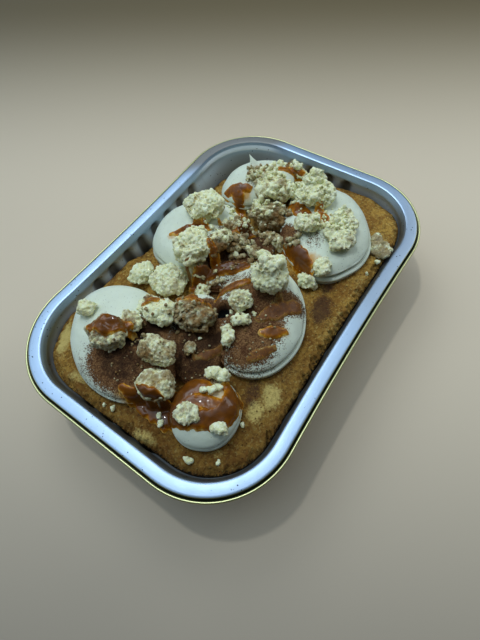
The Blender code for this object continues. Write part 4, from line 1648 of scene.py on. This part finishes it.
@dataclass
class LooseCrumbs:
    """Small crumbs strewn over the cake, the cream and the flange."""

    areas: tuple[Strewn, ...] = rows_of(
        Strewn,
        (22, 4, 28, 18, -72, 34, 2.6, 5.8, True), (48, 4, 22, 12, -60, 22, 3, 6, False),
        (28, -17, 10, 8, -72, 9, 3, 5.6, True), (76, 14, 14, 8, -60, 10, 3, 5.6, False),
        (10, 24, 20, 8, -60, 10, 2.6, 5, False), (-30, 14, 22, 8, -60, 12, 2.6, 5, False),
        (40, -2, 14, 10, -60, 14, 2.6, 5.4, True), (42, -30, 20, 12, -60, 14, 2.4, 5, False),
        (8, 4, 22, 12, -60, 16, 2.4, 4.6, True), (-12, 3, 16, 12, -60, 16, 2, 3.8, True),
        (36, 8, 18, 14, -72, 20, 2.2, 4.6, False), (24, 14, 20, 14, -72, 16, 2.2, 4.4, False),
        (60, 10, 24, 14, -72, 26, 2.4, 5, False), (56, -2, 16, 12, -72, 16, 2.6, 5.2, False),
        (60, -12, 14, 12, -72, 12, 2.4, 5, False), (58, 22, 18, 10, -50, 18, 1.8, 3.6, True),
        (46, -32, 26, 12, -72, 20, 1.6, 3.6, False), (52, -18, 16, 10, -72, 10, 1.8, 3.6, False),
        (-48, 10, 26, 16, -60, 14, 1.6, 3.2, True), (-34, 2, 18, 12, -60, 16, 1.6, 3.4, True),
        (-22, -20, 14, 10, -60, 10, 1.6, 3.2, False), (-50, -8, 30, 24, -60, 44, 0.7, 1.5, True),
        (-66, 8, 26, 20, -60, 34, 0.7, 1.4, True), (-22, -26, 44, 24, 20, 44, 0.7, 1.4, True),
        (14, 4, 40, 26, -20, 100, 0.9, 1.8, True), (30, 16, 28, 20, -72, 40, 1, 2.2, False),
        (44, -22, 30, 22, -72, 40, 0.8, 1.6, False),
    )
    placed_mm: tuple[Place, ...] = (
        (-57.5, -30, 6), (-54.5, -31.6, 5), (-59.5, -27.6, 4.4), (-79, -18.4, 4.4), (-77, -16, 3.4),
        (-85.5, 4, 3.4), (-86.5, 8.5, 2.2), (-84, -36, 5), (-78, -47, 3), (36, -56, 3), (45, -57, 3.4),
        (-60, -46.5, 3), (-66.5, 15, 2.6), (-40, -10, 2.2), (38, 10, 5.2), (7, 3.5, 5.4), (31, 22, 4.4),
        (36, 18, 3.6), (82, 10, 3.2), (70, 20, 4),
    )
    soaks: dict[CrumbKind, tuple[tuple[float, float], ...]] = field(default_factory=lambda: {
        CrumbKind.PALE: ((0.0, 0.35), (0.0, 0.5)),
        CrumbKind.STAINED: ((0.1, 0.75), (0.35, 0.75)),
    })
    dusts: dict[CrumbKind, float] = field(
        default_factory=lambda: {CrumbKind.PALE: 0.26, CrumbKind.STAINED: 0.74}
    )
    lumpy_from_mm: float = 1.9
    shapes: int = 7
    balls: int = 16
    voxel: float = 0.19
    lift: float = 0.20
    pit_depth: float = 0.00012

    def grainy(self, draw: np.random.Generator) -> tuple[Rows, Rows]:
        """One grainy crumb of radius 1, fused from small balls.

        Args:
            draw: The random numbers.

        Returns:
            Its points and triangles.
        """
        unit, unit_faces = ball(2)
        ways = draw.normal(size=(self.balls, 3))
        ways /= np.linalg.norm(ways, axis=1)[:, None]
        centres = ways * draw.uniform(0.15, 0.72, (self.balls, 1)) * (1.15, 0.9, 0.8)
        radius = draw.uniform(0.20, 0.46, self.balls)
        shells = unit[None] * radius[:, None, None] + centres[:, None]
        fused = remeshed("grainy_crumb", *copies(shells, unit_faces), self.voxel)
        points, triangles = mesh_points(fused), triangles_of(fused)
        bpy.data.objects.remove(fused)
        return points, triangles

    def plain(self, draw: np.random.Generator, seed: int) -> tuple[Rows, Rows]:
        """One small lumpy crumb of radius 1.

        Args:
            draw: The random numbers.
            seed: Which lumps it has.

        Returns:
            Its points and triangles.
        """
        unit, faces = ball(2)
        lumps = 1.15 - 0.55 * nearest_cell(unit, 0.75, seed) + 0.15 * rough(unit, 0.35, seed, 2)
        return unit * lumps[:, None] * draw.uniform(0.7, 1.15, 3), faces

    def places(self, draw: np.random.Generator) -> dict[CrumbKind, list[Place]]:
        """Where the crumbs of each kind lie, and how large they are, in millimetres.

        Args:
            draw: The random numbers.

        Returns:
            X, Y and size of each crumb, by kind.
        """
        spots: dict[CrumbKind, list[Place]] = {kind: [] for kind in CrumbKind}
        for area in self.areas:
            angle = math.radians(area.turn)
            for _ in range(area.count):
                far = math.sqrt(draw.random()) / 2
                way = draw.uniform(0, 2 * math.pi)
                along, across = far * math.cos(way) * area.length_mm, far * math.sin(way) * area.width_mm
                x = area.x_mm + along * math.cos(angle) - across * math.sin(angle)
                y = area.y_mm + along * math.sin(angle) + across * math.cos(angle)
                size = area.least_mm + (area.most_mm - area.least_mm) * draw.random() ** 2
                spots[CrumbKind.STAINED if area.stained else CrumbKind.PALE].append((x, y, size))
        spots[CrumbKind.PALE].extend(self.placed_mm)
        return spots

    def build(self, ground: Ground, material: Material) -> list[Item]:
        """Strew the crumbs, one piece for each kind.

        Args:
            ground: What they lie on.
            material: The streusel's finish.

        Returns:
            The pieces.
        """
        draw = np.random.default_rng(7)
        lumpy = [self.grainy(draw) for _ in range(self.shapes)]
        small = [self.plain(draw, seed) for seed in range(self.shapes)]
        made = []
        for kind, places in self.places(draw).items():
            points, faces, soaks = [], [], []
            total = 0
            for x, y, size in places:
                shapes = lumpy if size >= self.lumpy_from_mm else small
                shape, triangles = shapes[int(draw.integers(self.shapes))]
                centre = (x * MM, y * MM, ground.hit(x * MM, y * MM) + self.lift * size * MM)
                points.append(shape @ Streusel.turns(1, draw)[0] * (size / 2 * MM) + centre)
                faces.append(triangles + total)
                total += len(shape)
                soak = draw.uniform(*self.soaks[kind][size < self.lumpy_from_mm])
                soaks.append(np.full(len(shape), soak))
            crumbs = make_object(kind.value, np.concatenate(points), np.concatenate(faces))
            # Painted shade in the crumbs' hollows.
            pit = hollowness(crumbs, 2, self.pit_depth)
            set_fields(crumbs, soak=np.concatenate(soaks), dust=np.full(total, self.dusts[kind]), pit=pit)
            made.append(dress(crumbs, "streusel", material))
        return made


# Stage


@dataclass
class Studio:
    """The table top, the soft light and the camera of the picture."""

    camera_at: Place = (-0.09015, -0.07842, 0.20623)
    camera_right: Place = (0.56651, -0.82181, -0.06080)
    camera_up: Place = (0.73668, 0.47200, 0.48426)
    lens_mm: float = 22.5
    sensor_mm: float = 36.0
    table_half: float = 1.5
    light_from: Place = (-0.15, 0.30, 0.94)
    view_along: Place = (0.3785, 0.327, 0.0)
    sky_strength: float = 1.48
    sky_stops: tuple[tuple[float, Colour], ...] = (
        (0.0, (0.04, 0.045, 0.05)), (0.40, (0.07, 0.09, 0.11)), (0.58, (0.30, 0.37, 0.44)),
        (0.80, (0.42, 0.53, 0.64)), (0.90, (0.60, 0.78, 0.95)), (0.98, (0.68, 0.88, 1.08)),
    )
    side_stops: tuple[tuple[float, Colour], ...] = (
        (0.32, (0.10, 0.10, 0.10)), (0.52, (1.0, 1.0, 1.0)),
        (0.83, (1.0, 1.0, 1.0)), (0.91, (0.40, 0.40, 0.40)),
    )
    lamps: tuple[tuple[str, Place, float, float, Colour], ...] = (
        ("top_glint", (0.02, 0.16, 0.75), 0.03, 0.90, (0.86, 0.95, 1.0)),
        ("far_window", (0.14, 0.22, 0.42), 0.20, 0.36, (0.80, 0.92, 1.0)),
        ("side_window", (0.36, -0.17, 0.30), 0.20, 0.38, (0.84, 0.94, 1.0)),
    )
    lit: Place = (0.0, 0.0, 0.04)

    def camera(self) -> None:
        """Make the camera at the picture's view."""
        data = bpy.data.cameras.new("picture_view")
        data.lens = self.lens_mm
        data.sensor_width = self.sensor_mm
        item = placed("picture_view", data)
        right, up = Vector(self.camera_right), Vector(self.camera_up)
        turn = Matrix((right, up, right.cross(up))).transposed()
        item.matrix_world = Matrix.Translation(self.camera_at) @ turn.to_4x4()
        bpy.context.scene.camera = item

    def table(self) -> None:
        """Make the table top."""
        corners = np.array([(-1, -1, 0), (1, -1, 0), (1, 1, 0), (-1, 1, 0)])
        table = make_object("table_top", self.table_half * corners, [range(4)])
        table.data.materials.append(FloorFinish().material())

    def sky(self) -> None:
        """Light the scene from a wide soft patch overhead, dimmer where the viewer stands."""
        world = bpy.data.worlds.new("soft_studio")
        world.use_nodes = True
        bpy.context.scene.world = world
        builder = Builder(world.node_tree)
        way = builder.node("TexCoord", {}, {}, "Generated")
        toward = tuple(Vector(self.light_from).normalized())
        shade = builder.ramp(self.sky_stops, builder.dot(way, toward))
        side = builder.ramp(self.side_stops, builder.dot(way, self.view_along) + 0.5)
        back = world.node_tree.nodes["Background"]
        builder.feed(back.inputs["Color"], shade)
        builder.feed(back.inputs["Strength"], side * self.sky_strength)

    def lamp(self, name: str, at: Place, size: float, power: float, colour: Colour) -> None:
        """Add a soft square lamp that looks at the cake.

        Args:
            name: The lamp's name.
            at: Where it hangs.
            size: Its side.
            power: Its power in watts.
            colour: Its colour.
        """
        data = bpy.data.lights.new(name, "AREA")
        data.size = size
        data.energy = power
        data.color = colour
        item = placed(name, data)
        item.location = at
        item.rotation_euler = (Vector(self.lit) - Vector(at)).to_track_quat("-Z", "Y").to_euler()

    def build(self) -> None:
        """Set the stage."""
        self.camera()
        self.table()
        self.sky()
        for lamp in self.lamps:
            self.lamp(*lamp)
        bpy.context.scene.view_settings.view_transform = "Standard"


def main() -> None:
    """Build the stage, then every piece in the order in which it lies, and report each."""
    logging.basicConfig(level=logging.INFO, format="%(message)s")
    Studio().build()
    silver = FoilFinish("foil_silver", (0.42, 0.53, 0.67), 0.38).material()
    gold = FoilFinish("foil_gold", (0.62, 0.60, 0.30), 0.32, inside=0.0).material()
    tray_shape = FoilTray()
    tray = tray_shape.build(silver, gold)
    crust = Crust(tray_shape)
    cake = crust.build(CrustFinish().material())
    cream = PipedCream(crust).build(CreamFinish().material())
    streusel = StreuselFinish().material()
    clumps = Streusel().build(frame["nodes"], streusel)
    ground = Ground([tray, cake, *cream, *clumps])
    sauce = Sauce().build(ground, CaramelFinish().material())
    crumbs = LooseCrumbs().build(ground, streusel)
    for piece in (tray, cake, *cream, *clumps, *sauce, *crumbs):
        LOG.info("%s: %d points, %d faces", piece.name, len(piece.data.vertices), len(piece.data.polygons))


if __name__ == "__main__":
    main()
